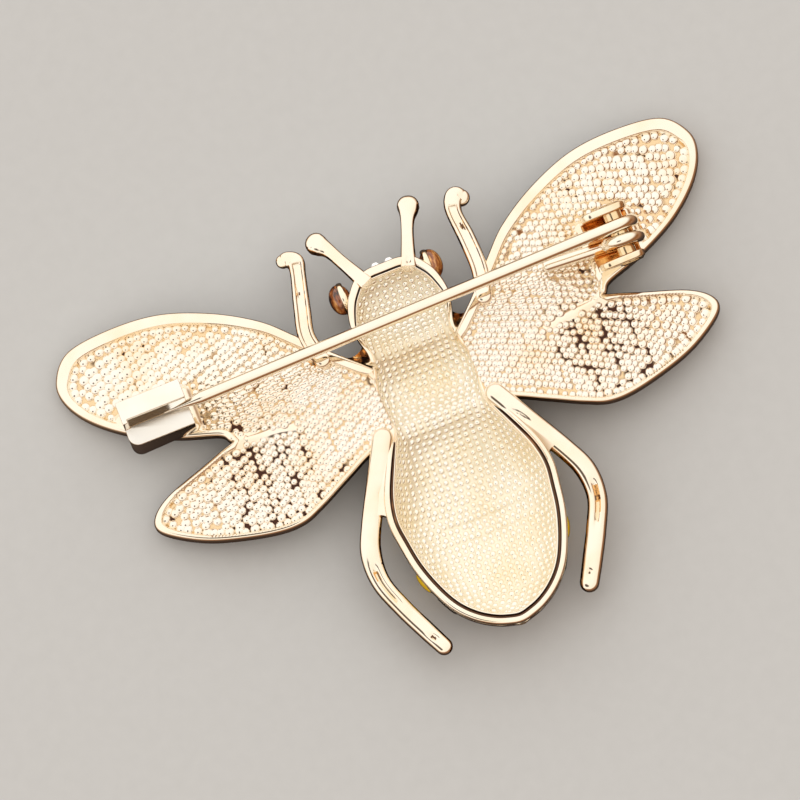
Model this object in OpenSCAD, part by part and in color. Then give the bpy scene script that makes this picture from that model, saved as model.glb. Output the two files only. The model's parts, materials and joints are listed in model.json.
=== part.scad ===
// Bee brooch: a hollow gold-coloured casting with four wings, six limbs and two antennae,
// and on its back a swinging pin with a spring coil and a sheet-metal catch.
// It lies on its face: +X is to the right, +Y towards the head, +Z out of the back.
// The floor is z = 0, where the crest of the abdomen and both forewing tips touch.

/* [Body] */
// Length of head, thorax and abdomen together
body_len = 30.2; // [29:0.1:32]
// Y of the flat top of the head
head_y = 12.85; // [12.4:0.05:13.2]
// How far the head's middle sits to the right of the wings' middle
head_offset = 0.4; // [0:0.05:0.6]
// Width across the abdomen
abdomen_w = 13.4; // [12.4:0.1:14.4]
// Height of the abdomen's back rim over its front crest
body_depth = 5; // [4.6:0.1:5.4]
// Thickness of metal between the bowl and the front
wall = 0.9; // [0.6:0.05:1.1]
// Width of the wall where it ends in the rim round the abdomen
body_rim = 0.9; // [0.6:0.05:1.1]

/* [Wings] */
// X of the forewing's tip
forewing_reach = 26.25; // [25.5:0.05:27]
// Y of the forewing's highest point
forewing_top = 16.35; // [15.6:0.05:16.8]
// X of the hindwing's tip
hindwing_reach = 23.15; // [22:0.05:24]
// Y of the hindwing's lowest point
hindwing_low = -3.85; // [-4.4:0.05:-3.4]
// Y of the notch between the two wings
notch_y = 4.3; // [4.1:0.05:4.5]
// Thickness of a wing from its rim to its front
wing_t = 1.6; // [1.4:0.05:1.8]
// Height of the wings' back at the root
wing_root_z = 4.6; // [4.4:0.05:4.8]
// Distance from the middle at which the wings begin to droop
wing_root_x = 4; // [3.6:0.1:4.4]
// How the droop grows outwards: 1 is straight, 2 is a parabola
wing_curve = 1.3; // [1.2:0.05:1.5]
// Depth of the pebbled floor below the rim
wing_recess = 0.5; // [0.35:0.05:0.6]
// Width of the rims
wing_rim = 0.5; // [0.4:0.05:0.6]
// Extra width of the forewing's front rim
lead_rim_extra = 0.5; // [0.3:0.05:0.6]

/* [Limbs] */
// Half thickness of a limb where its tables say 1
limb_r = 0.66; // [0.5:0.02:0.7]
// Y of the top of the antennae
antenna_top = 17.25; // [16.8:0.05:17.8]
// Y of the hind feet
foot_y = -16.9; // [-17.2:0.05:-16.4]
// Y of the top of the forelegs
foreleg_top = 16.5; // [16:0.05:16.9]

/* [Eyes and stones] */
// Radius of an eye
eye_r = 1.05; // [0.9:0.05:1.15]
// Distance of an eye's middle from the point between the eyes
eye_out = 3.6; // [3.5:0.05:3.8]
// Radius of a brow stone
stone_r = 0.42; // [0.36:0.02:0.48]
// Distance between the two brow stones
stone_pitch = 1.1; // [1.02:0.02:1.4]

/* [Enamel] */
// Number of enamel bands across the abdomen
bands = 5; // [4:1:5]
// Length of one band along the body
band_len = 2.1; // [1.9:0.05:2.2]
// Bare metal between two bands
band_gap = 0.25; // [0.2:0.05:0.4]
// Thickness of the enamel
enamel_t = 0.45; // [0.3:0.05:0.5]
// How far the enamel swells past the metal at the flanks
enamel_swell = 0.12; // [0:0.02:0.2]

/* [Pin and hinge] */
// Diameter of the spring wire
wire_d = 1; // [0.9:0.02:1.04]
// X, and Y of the middle of the rivet
hinge_x = 17.9; // [17.7:0.05:18.1]
hinge_y = 7.69; // [7.6:0.01:7.78]
// Height of the middle of the rivet
hinge_z = 5.55; // [5.5:0.01:5.75]
// Radius of the coil at the middle of the wire
coil_r = 1.25; // [1.23:0.01:1.28]
// Distance between the coil's two turns
coil_pitch = 1.2; // [1.15:0.01:1.3]
// Distance between the middles of the two ears
ear_span = 3.94; // [3.8:0.02:4.1]
// Thickness of an ear
ear_t = 0.6; // [0.5:0.02:0.64]
// Width of an ear along the wing
ear_w = 3.6; // [3.4:0.05:3.8]
// Diameter of the rivet
rivet_d = 1.4; // [1.2:0.02:1.42]
// Tilt of the rivet, so that the point swings out of the catch sideways
hinge_tilt = 12; // [11:0.5:14]
// Turn of the hinge seen from above
hinge_turn = 0.85; // [0.7:0.05:1]
// X of the pin's point
point_x = -19.25; // [-19.8:0.05:-18.8]
// Length of the tapered point
taper_len = 3; // [2.8:0.1:3.4]

/* [Catch] */
// X of the closed end and of the open end
catch_left = -22.5; // [-22.8:0.05:-22.2]
catch_right = -17.35; // [-17.6:0.05:-17.2]
// Y of the wall on the abdomen's side, and of the fold on the head's side
catch_low = 6.14; // [5.95:0.02:6.3]
catch_high = 9.43; // [9.3:0.02:9.6]
// Thickness of the sheet
sheet_t = 0.4; // [0.3:0.02:0.45]
// Height of the shelf that the pin lies on
shelf_z = 5.6; // [5.5:0.02:5.7]
// Free height between the pin and the leaf over it
leaf_room = 0.65; // [0.6:0.02:0.8]
// How far the leaf covers the pin at the open end
leaf_cover = 0.09; // [0.04:0.01:0.1]
// Radius of the rounded corner at the closed end
catch_corner = 0.8; // [0.5:0.05:1]

/* [Fits] */
// Hairline between two parts that are soldered or fused in the real brooch
seam = 0.03; // [0.02:0.005:0.05]
// Radial play of the rivet in the coil and in the ears
rivet_play = 0.05; // [0.03:0.005:0.07]

/* [Hidden] */

gold = "#e8c48c";
bracket_gold = "#e2b070";
rivet_gold = "#d9a662";
enamels = ["#1c1712", "#e6b012"];
amber = "#8a4a1c";
crystal = "#f4f4f0";
eps = 0.01;
fine = 64;
limb_fn = 8;

// Columns of the body table: share of the length from the head's top, half width as a
// share of the abdomen's, height of the back rim and of the front crest as shares of
// the depth, and width of the wall at the rim as a share of the abdomen's.
U = 0;
WIDE = 1;
RIM = 2;
CREST = 3;
WALL = 4;
BODY = [
    [0.000, 0.19, 0.84, 0.60, 0.80],
    [0.014, 0.36, 0.84, 0.48, 0.75],
    [0.036, 0.45, 0.84, 0.34, 0.70],
    [0.068, 0.54, 0.84, 0.24, 0.65],
    [0.127, 0.60, 0.84, 0.20, 0.50],
    [0.170, 0.57, 0.84, 0.30, 0.45],
    [0.216, 0.52, 0.82, 0.44, 0.45],
    [0.250, 0.55, 0.79, 0.30, 0.45],
    [0.300, 0.61, 0.79, 0.14, 0.45],
    [0.360, 0.61, 0.79, 0.18, 0.50],
    [0.405, 0.60, 0.82, 0.36, 0.55],
    [0.435, 0.64, 0.90, 0.32, 0.65],
    [0.483, 0.75, 0.98, 0.16, 0.85],
    [0.575, 0.94, 1.00, 0.03, 1.00],
    [0.644, 1.00, 1.00, 0.00, 1.00],
    [0.712, 0.97, 1.00, 0.01, 1.00],
    [0.777, 0.92, 1.00, 0.05, 1.00],
    [0.850, 0.81, 1.00, 0.14, 1.00],
    [0.910, 0.67, 1.00, 0.28, 1.00],
    [0.955, 0.48, 1.00, 0.44, 1.00],
    [0.985, 0.26, 1.00, 0.62, 1.00],
    [1.000, 0.05, 1.00, 0.76, 1.00]
];
// How full the body's cross-section is: 1 is an ellipse, less is squarer
fullness = 0.78;
// Shares of the length between which the bowl is hollowed out
bowl_from = 0.022;
bowl_to = 0.968;
// Half width of the bowl's floor where its walls would meet
bowl_least = 0.3;
// How far the bowl's cutting form and an enamel cell's run out into the open
cut_over = 1;
// Step in the share of the length over which the outline's slant is taken
slant_step = 0.004;
body_steps = 26;
body_sides = 14;
station_gap = 0.006;
// Share of the length at which the first enamel band begins
bands_from = 0.535;
// Angle below the rim at which a band begins
band_angle = 14;
// How far a band's cell runs on at both its ends, in degrees
cell_margin = 2;
band_steps = 3;

// Columns of the wing outlines: share of the reach, and share of the height from the
// notch to the forewing's top or to the hindwing's lowest point.
FOREWING = [
    [0.579, 0.000], [0.610, 0.066], [0.724, 0.162], [0.850, 0.311], [0.945, 0.494],
    [0.994, 0.672], [0.994, 0.825], [0.933, 0.970], [0.800, 1.000], [0.648, 0.960],
    [0.503, 0.830], [0.381, 0.658], [0.300, 0.480], [0.210, 0.266], [0.120, 0.070],
    [0.080, -0.060], [0.220, -0.045], [0.343, -0.018], [0.490, -0.010]
];
HINDWING = [
    [0.657, 0.000], [0.778, 0.100], [0.920, 0.226], [0.988, 0.365], [0.990, 0.512],
    [0.911, 0.692], [0.808, 0.836], [0.648, 0.968], [0.544, 0.990], [0.462, 0.914],
    [0.346, 0.757], [0.242, 0.620], [0.130, 0.560], [0.080, 0.100], [0.260, -0.070],
    [0.389, -0.016], [0.560, -0.012]
];
outline_steps = 3;
droop_steps = 11;

// Columns of the limb tables: X, Y as a share of the way from the limb's root to its
// end, Z, and half thickness as a share of limb_r.
FORELEG_LEFT = [
    [-6.6, 0, 4, 1.00], [-7.05, 0.24, 3.9, 1.00], [-6.55, 0.5, 3.6, 1.00],
    [-5.87, 0.79, 3.2, 0.92], [-5.72, 0.9, 3, 1.06], [-6.15, 0.96, 2.9, 0.85],
    [-6.6, 0.965, 2.8, 0.55]
];
FORELEG_RIGHT = [
    [6.6, 0, 4, 1.00], [7.1, 0.24, 3.9, 1.00], [7.1, 0.53, 3.6, 1.00],
    [6.95, 0.76, 3.2, 0.92], [7.1, 0.87, 3, 1.05], [7.5, 0.935, 2.9, 0.95],
    [7.98, 0.915, 2.8, 0.72]
];
HIND_LEG_LEFT = [
    [-4.6, 0, 4.3, 1.10], [-6.2, 0.17, 4, 1.10], [-7.9, 0.35, 3.6, 1.05],
    [-8.7, 0.47, 3.3, 1.10], [-8.75, 0.6, 3, 1.00], [-7.95, 0.74, 2.8, 0.95],
    [-6.95, 0.87, 2.6, 0.95], [-6.15, 0.97, 2.5, 0.90]
];
HIND_LEG_RIGHT = [
    [4.6, 0, 4.3, 1.10], [6.2, 0.17, 4, 1.10], [7.95, 0.35, 3.6, 1.05],
    [8.8, 0.47, 3.3, 1.10], [8.8, 0.6, 3, 1.05], [7.85, 0.73, 2.8, 1.05],
    [6.75, 0.85, 2.6, 1.05], [5.85, 0.945, 2.5, 1.00]
];
ANTENNA_LEFT = [
    [-1.28, -0.1, 3.9, 0.95], [-2.4, 0.4, 3.3, 0.75], [-3, 0.66, 3.05, 0.82],
    [-3.45, 0.79, 2.9, 1.15], [-3.67, 0.85, 2.8, 1.28]
];
ANTENNA_RIGHT = [
    [2.13, -0.1, 3.9, 0.95], [2.95, 0.4, 3.3, 0.75], [3.43, 0.66, 3.05, 0.82],
    [3.75, 0.8, 2.9, 1.15], [3.87, 0.865, 2.8, 1.30]
];
foreleg_root = 7.4;
hind_root = -0.1;
antenna_root = 12.2;
// The thin web that joins each hind leg to the abdomen: X, Y and Z of its corners
WEB = [[5.3, -1.8, 4.2], [7.2, -5.7, 3.6], [6.1, -5.4, 3.7]];
web_r = 0.42;

// Where the eyes and the brow stones sit
eyes_x = 0.15;
eye_y = 11.65;
eye_z = 2.7;
stone_z = 3.1;
// The eyes' sockets have facets, whose middles stay clear of the eyes
socket_fn = 24;
socket_r = (eye_r + seam) / pow(cos(180 / socket_fn), 2);
stone_girdle = 0.16;
stone_crown = 0.22;
stone_pavilion = 0.3;
stone_facets = 8;
// Width of a stone's table as a share of its girdle's
table_share = 0.55;

wire_r = wire_d / 2;
rivet_r = rivet_d / 2;
rivet_head_lip = 0.2;
rivet_head_r = rivet_r + rivet_head_lip;
rivet_head_t = 0.14;
// How far round the rivet each of the coil's turns goes
first_turn_sweep = 260;
second_turn_sweep = 275;
tail_len = 6.4;
tail_rise = -2;
tail_turn = 4.5;
point_r = 0.06;
// The ear's bottom, its top and its near end, from the middle of the rivet
ear_top = 1.3;
ear_ahead = 1.2;
ear_corner = 0.9;
// Free height between the coil and the bracket's base, and the base's place between the ears
coil_room = 0.23;
base_inset = 0.2;
base_top = hinge_z - coil_r - wire_r - coil_room;
foot_top = 3.3;
// Play of the pin over the shelf, how far the shelf runs on under it, and how far the
// closed end laps under the leaf
shelf_play = 0.04;
shelf_lap = 0.1;
end_lap = 0.3;

stem_y = coil_pitch / 2;
hinge_at = [hinge_x, hinge_y, hinge_z];
reach_x = hinge_x - catch_right;
// The pin's radius at the catch's open end, from its taper
mouth_r = wire_r - (wire_r - point_r) * (taper_len - (catch_right - point_x)) / taper_len;
mouth_z = shelf_z + shelf_play + mouth_r;
stem_slope = asin((hinge_z + coil_r - mouth_z) / reach_x);
stem_len = hinge_x - point_x - taper_len;
// The pin's Y at the open end follows from the hinge's tilt and turn
mouth_y = hinge_y + stem_y * cos(hinge_tilt) - coil_r * sin(hinge_tilt)
    + reach_x * (sin(stem_slope) * sin(hinge_tilt) - sin(hinge_turn));
leaf_edge = mouth_y + mouth_r - leaf_cover;
leaf_z = mouth_z + mouth_r + leaf_room;
shelf_edge = mouth_y + shelf_lap;
pad_margin = 0.1;

tip_z = wing_t;
body_w = abdomen_w / 2;

// Height of the wings' back at a distance from the middle
function back_z(x) = let (out = max(0, abs(x) - wing_root_x))
    wing_root_z - (wing_root_z - tip_z) * pow(out / (forewing_reach - wing_root_x), wing_curve);

// Smooth value of a table's column, whose first column is the running share
function row_of(rows, u, i = 0) =
    i >= len(rows) - 2 || u < rows[i + 1][U] ? i : row_of(rows, u, i + 1);
function slope_at(rows, col, i) =
    let (a = max(i - 1, 0), b = min(i + 1, len(rows) - 1))
    (rows[b][col] - rows[a][col]) / (rows[b][U] - rows[a][U]);
function smooth(rows, col, u) =
    let (i = row_of(rows, u), step = rows[i + 1][U] - rows[i][U],
         t = max(0, min(1, (u - rows[i][U]) / step)))
    (2 * t * t * t - 3 * t * t + 1) * rows[i][col]
    + (t * t * t - 2 * t * t + t) * step * slope_at(rows, col, i)
    + (3 * t * t - 2 * t * t * t) * rows[i + 1][col]
    + (t * t * t - t * t) * step * slope_at(rows, col, i + 1);

// A closed smooth curve through the points, with some points added between each two
function curve_point(p, i, t) =
    let (n = len(p), a = p[(i + n - 1) % n], b = p[i], c = p[(i + 1) % n], d = p[(i + 2) % n])
    0.5 * (2 * b + (c - a) * t + (2 * a - 5 * b + 4 * c - d) * t * t
           + (3 * b - a - 3 * c + d) * t * t * t);
function closed_curve(p, steps) =
    [for (i = [0:len(p) - 1]) for (k = [0:steps - 1]) curve_point(p, i, k / steps)];

// A solid through a row of rings that all have the same number of points. A ring that
// goes out along one side of a strip and back along the other has its ends made of quads.
module loft(rings, strip = false) {
    n = len(rings[0]);
    last = len(rings) - 1;
    end = strip
        ? [for (i = [0:n / 2 - 2]) [i, i + 1, n - 2 - i, n - 1 - i]]
        : [[for (i = [0:n - 1]) i]];
    polyhedron(
        points = [for (r = rings) for (p = r) p],
        faces = concat(
            [for (k = [0:last - 1]) for (i = [0:n - 1])
                let (a = k * n + i, b = k * n + (i + 1) % n) [a, b, b + n, a + n]],
            [for (f = end) [for (j = [len(f) - 1:-1:0]) f[j]]],
            [for (f = end) [for (i = f) last * n + i]]
        )
    );
}

function body_y(u) = head_y - u * body_len;
function body_x(u) = head_offset * (1 - u) * (1 - u);
function share_at(y) = (head_y - y) / body_len;
function rim_z(u) = smooth(BODY, RIM, u) * body_depth;
function crest_z(u) = smooth(BODY, CREST, u) * body_depth;
function half_w(u) = smooth(BODY, WIDE, u) * body_w;
// The wall at the rim, measured across the body where the outline runs aslant
function wall_across(u) =
    let (d = slant_step, m = (half_w(min(1, u + d)) - half_w(max(0, u - d))) / (2 * d * body_len))
    smooth(BODY, WALL, u) * body_rim * sqrt(1 + m * m);

// One point of the body's cross-section, at an angle below the rim from side to side
function skin_point(u, a, wide, crest) =
    [body_x(u) + sign(cos(a)) * wide * pow(abs(cos(a)), fullness),
     body_y(u),
     rim_z(u) - (rim_z(u) - crest) * pow(sin(a), fullness)];
function body_ring(u) =
    [for (i = [0:body_sides]) skin_point(u, 180 * i / body_sides, half_w(u), crest_z(u))];
function bowl_ring(u) =
    let (wide = max(bowl_least, half_w(u) - wall_across(u)), low = crest_z(u) + wall,
         top = body_depth + cut_over)
    concat(
        [for (i = [0:body_sides]) skin_point(u, 180 * i / body_sides, wide, low)],
        [[body_x(u) - wide, body_y(u), top], [body_x(u) + wide, body_y(u), top]]
    );
// Stations along the body, closer together towards both ends, and those within the bowl
body_us = [for (i = [0:body_steps]) (1 - cos(180 * i / body_steps)) / 2];
bowl_us = concat(
    [bowl_from],
    [for (u = body_us) if (u > bowl_from + station_gap && u < bowl_to - station_gap) u],
    [bowl_to]
);

// The skin of the abdomen between two stations: out is how far it swells over the metal,
// deep how far it reaches into it, and grow how much longer it is at each end.
module band(index, out, deep, grow) {
    from = bands_from + index * (band_len + band_gap) / body_len;
    start = from - grow / body_len;
    end = from + (band_len + grow) / body_len;
    low = band_angle - (grow > 0 ? cell_margin : 0);
    angles = [for (i = [0:body_sides]) low + (180 - 2 * low) * i / body_sides];
    rings = [for (k = [0:band_steps])
        let (u = start + (end - start) * k / band_steps)
        concat(
            [for (a = angles) skin_point(u, a, half_w(u) + out, crest_z(u) - max(0, out - enamel_swell))],
            [for (i = [body_sides:-1:0]) skin_point(u, angles[i], half_w(u) - deep, crest_z(u) + deep)]
        )];
    loft(rings, strip = true);
}

module wing_shape(rows, reach, height) {
    polygon(closed_curve([for (r = rows) [r[0] * reach, notch_y + r[1] * height]], outline_steps));
}
module forewing_2d() {
    wing_shape(FOREWING, forewing_reach, forewing_top - notch_y);
}
module hindwing_2d() {
    wing_shape(HINDWING, hindwing_reach, hindwing_low - notch_y);
}
module forewing_floor_2d() {
    intersection() {
        offset(delta = -wing_rim) forewing_2d();
        translate([lead_rim_extra / 2, -lead_rim_extra]) offset(delta = -wing_rim) forewing_2d();
    }
}

// Everything between two heights that follow the wings' droop
module droop_slab(low, high) {
    side = forewing_reach + cut_over;
    xs = [for (i = [-droop_steps:droop_steps]) side * i / droop_steps];
    rotate([90, 0, 0]) linear_extrude(2 * body_len, center = true)
        polygon(concat(
            [for (x = xs) [x, back_z(min(abs(x), forewing_reach)) + high]],
            [for (i = [len(xs) - 1:-1:0]) [xs[i], back_z(min(abs(xs[i]), forewing_reach)) + low]]
        ));
}
module both_sides() {
    children();
    mirror([1, 0, 0]) children();
}

module catch_pad_2d() {
    translate([catch_left - pad_margin, catch_low - pad_margin])
        square([catch_right - catch_left + 2 * pad_margin, catch_high - catch_low + 2 * pad_margin]);
}
module hinge_pad_2d() {
    translate([hinge_x + ear_ahead - ear_w - pad_margin, hinge_y - ear_span / 2 - ear_t])
        square([ear_w + 2 * pad_margin, ear_span + 2 * ear_t]);
}

module wings() {
    intersection() {
        linear_extrude(2 * body_depth) both_sides() {
            forewing_2d();
            hindwing_2d();
        }
        droop_slab(-wing_t, 0);
    }
}
module wing_floors() {
    intersection() {
        linear_extrude(2 * body_depth) difference() {
            both_sides() {
                forewing_floor_2d();
                offset(delta = -wing_rim) hindwing_2d();
            }
            catch_pad_2d();
            hinge_pad_2d();
        }
        droop_slab(-wing_recess, cut_over);
    }
}

// A limb as a chain of rounded links between the rows of its table
module limb(rows, root, end) {
    for (i = [0:len(rows) - 2])
        hull() for (r = [rows[i], rows[i + 1]])
            translate([r[0], root + r[1] * (end - root), r[2]])
                sphere(r[3] * limb_r, $fn = limb_fn);
}
module web() {
    hull() for (p = WEB) translate(p) sphere(web_r, $fn = limb_fn);
}

module bee_casting() {
    color(gold) difference() {
        union() {
            loft([for (u = body_us) body_ring(u)]);
            difference() {
                wings();
                wing_floors();
            }
            limb(FORELEG_LEFT, foreleg_root, foreleg_top);
            limb(FORELEG_RIGHT, foreleg_root, foreleg_top);
            limb(HIND_LEG_LEFT, hind_root, foot_y);
            limb(HIND_LEG_RIGHT, hind_root, foot_y);
            both_sides() web();
            limb(ANTENNA_LEFT, antenna_root, antenna_top);
            limb(ANTENNA_RIGHT, antenna_root, antenna_top);
        }
        loft([for (u = bowl_us) bowl_ring(u)]);
        for (i = [0:bands - 1]) band(i, cut_over, enamel_t + seam, seam);
        for (s = [-1, 1]) eye_at(s) sphere(socket_r, $fn = socket_fn);
        for (s = [-1, 1]) stone_at(s) stone(seam);
    }
}

module eye_at(side) {
    translate([eyes_x + side * eye_out, eye_y, eye_z]) children();
}
// A brow stone faces forwards and a little up
module stone_at(side) {
    translate([head_offset + side * stone_pitch / 2, head_y, stone_z]) rotate([-90, 0, 0]) children();
}
// A small cut stone: a flat table, a crown, a girdle and a pavilion
module stone(grow) {
    r = stone_r + grow;
    cylinder(stone_girdle, r, r, $fn = stone_facets);
    translate([0, 0, stone_girdle])
        cylinder(stone_crown, r, r * table_share, $fn = stone_facets);
    mirror([0, 0, 1]) cylinder(stone_pavilion + grow, r, grow + eps, $fn = stone_facets);
}

// Everything above the wings' back, seen from the side, which cuts a part to its seat
module above_wings(high) {
    droop_slab(seam, high);
}

// The catch in cross-section: Y to the right, Z up
module catch_profile() {
    wall_h = leaf_z + sheet_t;
    translate([catch_high - sheet_t, 0]) square([sheet_t, wall_h]);
    translate([leaf_edge, leaf_z]) square([catch_high - leaf_edge, sheet_t]);
    translate([catch_low, 0]) square([sheet_t, shelf_z]);
    translate([catch_low, shelf_z - sheet_t]) square([shelf_edge - catch_low, sheet_t]);
    translate([catch_low, 0]) square([catch_high - catch_low, foot_top]);
}
module catch_end_profile() {
    translate([catch_low, 0]) square([shelf_edge - catch_low, shelf_z]);
    translate([leaf_edge - end_lap, 0]) square([catch_high - leaf_edge + end_lap, leaf_z + sheet_t]);
}
// The catch seen from above, with the rounded corner of its closed end
module catch_plan() {
    x = catch_left;
    difference() {
        translate([x, catch_low]) square([catch_right - x, catch_high - catch_low]);
        translate([x, catch_low]) difference() {
            translate([-eps, -eps]) square(catch_corner + eps);
            translate([catch_corner, catch_corner]) circle(catch_corner, $fn = fine);
        }
    }
}
module along_x(from, to) {
    translate([from, 0, 0]) rotate([90, 0, 90]) linear_extrude(to - from) children();
}
module catch() {
    color(gold) intersection() {
        union() {
            along_x(catch_left, catch_right) catch_profile();
            along_x(catch_left, catch_left + sheet_t) catch_end_profile();
        }
        linear_extrude(3 * body_depth) catch_plan();
        above_wings(2 * body_depth);
    }
}

// Places a part in the hinge's own frame: Y along the rivet, X away from the point
module at_hinge() {
    translate(hinge_at) rotate([hinge_tilt, 0, hinge_turn]) children();
}
module round_bar(length, r) {
    rotate([90, 0, 0]) cylinder(length, r, r, center = true, $fn = fine);
}
module ear_profile() {
    far = ear_ahead - ear_w;
    translate([far, -hinge_z]) square([ear_w, hinge_z + ear_top - ear_corner]);
    translate([far + ear_corner, 0]) square([ear_w - 2 * ear_corner, ear_top]);
    for (x = [far + ear_corner, ear_ahead - ear_corner])
        translate([x, ear_top - ear_corner]) circle(ear_corner, $fn = fine);
}
module ear(side) {
    at_hinge() difference() {
        translate([0, side * ear_span / 2, 0]) rotate([90, 0, 0])
            linear_extrude(ear_t, center = true) ear_profile();
        translate([0, side * ear_span / 2, 0]) round_bar(2 * ear_t, rivet_r + rivet_play);
    }
}
module hinge_bracket() {
    color(bracket_gold) intersection() {
        union() {
            ear(-1);
            ear(1);
            translate([hinge_x + ear_ahead - ear_w, hinge_y - ear_span / 2 + base_inset, 0])
                cube([ear_w, ear_span, base_top]);
        }
        above_wings(2 * body_depth);
    }
}
module hinge_rivet() {
    outside = ear_span / 2 + ear_t / 2 + seam;
    color(rivet_gold) at_hinge() {
        round_bar(2 * outside + 2 * rivet_head_t - eps, rivet_r);
        for (s = [-1, 1]) translate([0, s * (outside + rivet_head_t / 2), 0])
            round_bar(rivet_head_t, rivet_head_r);
    }
}

// Part of a ring of wire round the rivet, which starts straight below or above it
module wire_turn(sweep) {
    rotate([90, 0, 0]) rotate([0, 0, -90])
        rotate_extrude(angle = sweep, $fn = fine) translate([coil_r, 0]) circle(wire_r, $fn = fine);
}
module pin_stem() {
    color(gold) at_hinge() translate([0, stem_y, 0]) rotate([0, -stem_slope, 0]) {
        mirror([0, 0, 1]) wire_turn(first_turn_sweep);
        translate([0, 0, coil_r]) rotate([0, -90, 0]) {
            cylinder(stem_len, wire_r, wire_r, $fn = fine);
            translate([0, 0, stem_len]) cylinder(taper_len, wire_r, point_r, $fn = fine);
        }
    }
}
module spring_tail() {
    color(gold) at_hinge() translate([0, -stem_y, 0]) rotate([0, tail_rise, -tail_turn]) {
        wire_turn(second_turn_sweep);
        translate([0, 0, -coil_r]) rotate([0, -90, 0]) {
            cylinder(tail_len, wire_r, wire_r, $fn = fine);
        }
    }
}

module enamel_band(index) {
    color(enamels[index % 2]) band(index, enamel_swell, enamel_t, 0);
}
module eye(side) {
    color(amber) eye_at(side) sphere(eye_r, $fn = fine);
}
module brow_stone(side) {
    color(crystal) stone_at(side) stone(0);
}

bee_casting();
for (i = [1:bands]) enamel_band(i - 1);
eye(-1);  // eye_left
eye(1);  // eye_right
brow_stone(-1);  // brow_stone_left
brow_stone(1);  // brow_stone_right
catch();
hinge_bracket();
hinge_rivet();
pin_stem();
spring_tail();
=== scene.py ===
# %% [markdown]
# # A bee brooch, seen from its back
# The real thing is one hollow casting in a pale gold plating, with a pebbled back, glass and
# enamel on its front, and a sprung pin between a hinge and a folded catch. The solids come from
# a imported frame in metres; this lesson dresses them. Nothing is moved to suit the picture.

# %% Open the frame
import json
import math
import bpy
import bmesh
import numpy as np
from mathutils import Matrix, Vector
from mathutils.geometry import delaunay_2d_cdt

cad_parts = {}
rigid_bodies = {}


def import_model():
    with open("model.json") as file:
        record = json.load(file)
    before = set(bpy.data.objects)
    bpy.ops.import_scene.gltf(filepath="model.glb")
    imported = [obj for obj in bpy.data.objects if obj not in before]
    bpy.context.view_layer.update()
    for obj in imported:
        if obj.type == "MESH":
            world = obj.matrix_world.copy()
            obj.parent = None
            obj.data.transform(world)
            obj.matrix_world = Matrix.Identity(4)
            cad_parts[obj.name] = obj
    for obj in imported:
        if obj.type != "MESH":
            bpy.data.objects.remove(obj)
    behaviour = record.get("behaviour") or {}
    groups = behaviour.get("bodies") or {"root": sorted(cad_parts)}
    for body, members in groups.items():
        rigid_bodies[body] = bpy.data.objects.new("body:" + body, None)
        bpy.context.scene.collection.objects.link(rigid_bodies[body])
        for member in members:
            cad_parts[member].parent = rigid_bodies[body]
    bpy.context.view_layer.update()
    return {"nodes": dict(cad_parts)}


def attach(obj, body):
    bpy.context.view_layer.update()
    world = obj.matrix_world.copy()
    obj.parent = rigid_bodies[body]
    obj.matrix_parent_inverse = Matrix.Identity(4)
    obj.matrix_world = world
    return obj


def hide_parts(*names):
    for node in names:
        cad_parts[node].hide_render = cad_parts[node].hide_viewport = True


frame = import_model()
scene = bpy.context.scene
MM = 0.001
print("solids:", ", ".join(sorted(frame["nodes"])))

# %% [markdown]
# ## The camera
# The picture looks down on the back, leaning 14 degrees towards the abdomen and a little to the
# left, with the head turned up and to the left. A long lens far away keeps the wings flat, as a
# product shot does. The lens follows from the width that it has to show.

# %% Camera
LEAN, SIDE_LEAN, TURN = math.radians(13.8), math.radians(-1.8), math.radians(22.1)
AIM = Vector((-2.28, 2.31, 3.99)) * MM
SHOWN_WIDTH = 60.7 * MM
FAR = 0.6

away = Vector((math.sin(SIDE_LEAN), -math.sin(LEAN), 0))
away.z = math.sqrt(1 - away.length_squared)
along = (Vector((0, 1, 0)) - away * away.y).normalized()
up = math.sin(TURN) * along.cross(away) + math.cos(TURN) * along
camera = bpy.data.objects.new("camera", bpy.data.cameras.new("camera"))
camera.data.lens = camera.data.sensor_width * FAR / SHOWN_WIDTH
camera.data.clip_start, camera.data.clip_end = 0.01, 10
looking = Matrix((up.cross(away), up, away)).transposed().to_4x4()
camera.matrix_world = Matrix.Translation(AIM + away * FAR) @ looking
scene.collection.objects.link(camera)
scene.camera = camera
print("lens", round(camera.data.lens), "mm at", FAR, "m")

# %% [markdown]
# ## Small helpers for nodes
# A material is easier to read when a node, its settings and its links are one call. The same
# helper serves shaders and geometry. An input is given by its name, with _ for a space, or by
# its number, as in n0, where several inputs share a name. A node group could be drawn by hand in
# the editor instead, but a script can be read, compared and run again.

# %% Node helpers
def node(tree, kind, settings=None, **inputs):
    made = tree.nodes.new(kind)
    for key, value in (settings or {}).items():
        setattr(made, key, value)
    for key, value in inputs.items():
        numbered = key[0] == "n" and key[1:].isdigit()
        socket = made.inputs[int(key[1:]) if numbered else key.replace("_", " ")]
        if isinstance(value, bpy.types.NodeSocket):
            tree.links.new(value, socket)
        else:
            socket.default_value = value
    return made


def new_group(name, kind, ins, outs):
    group = bpy.data.node_groups.new(name, kind)
    for label, socket, value in ins:
        made = group.interface.new_socket(label, in_out="INPUT", socket_type=socket)
        if value is not None:
            made.default_value = value
    for label, socket in outs:
        group.interface.new_socket(label, in_out="OUTPUT", socket_type=socket)
    return group, group.nodes.new("NodeGroupInput"), group.nodes.new("NodeGroupOutput")


def new_material(name, **settings):
    """A material with its node tree and its Principled shader, whose named inputs are set."""
    material = bpy.data.materials.new(name)
    material.use_nodes = True
    shader = material.node_tree.nodes["Principled BSDF"]
    for key, value in settings.items():
        shader.inputs[key.replace("_", " ")].default_value = value
    return material, material.node_tree, shader


def object_place(tree):
    return node(tree, "ShaderNodeTexCoord").outputs["Object"]


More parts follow.
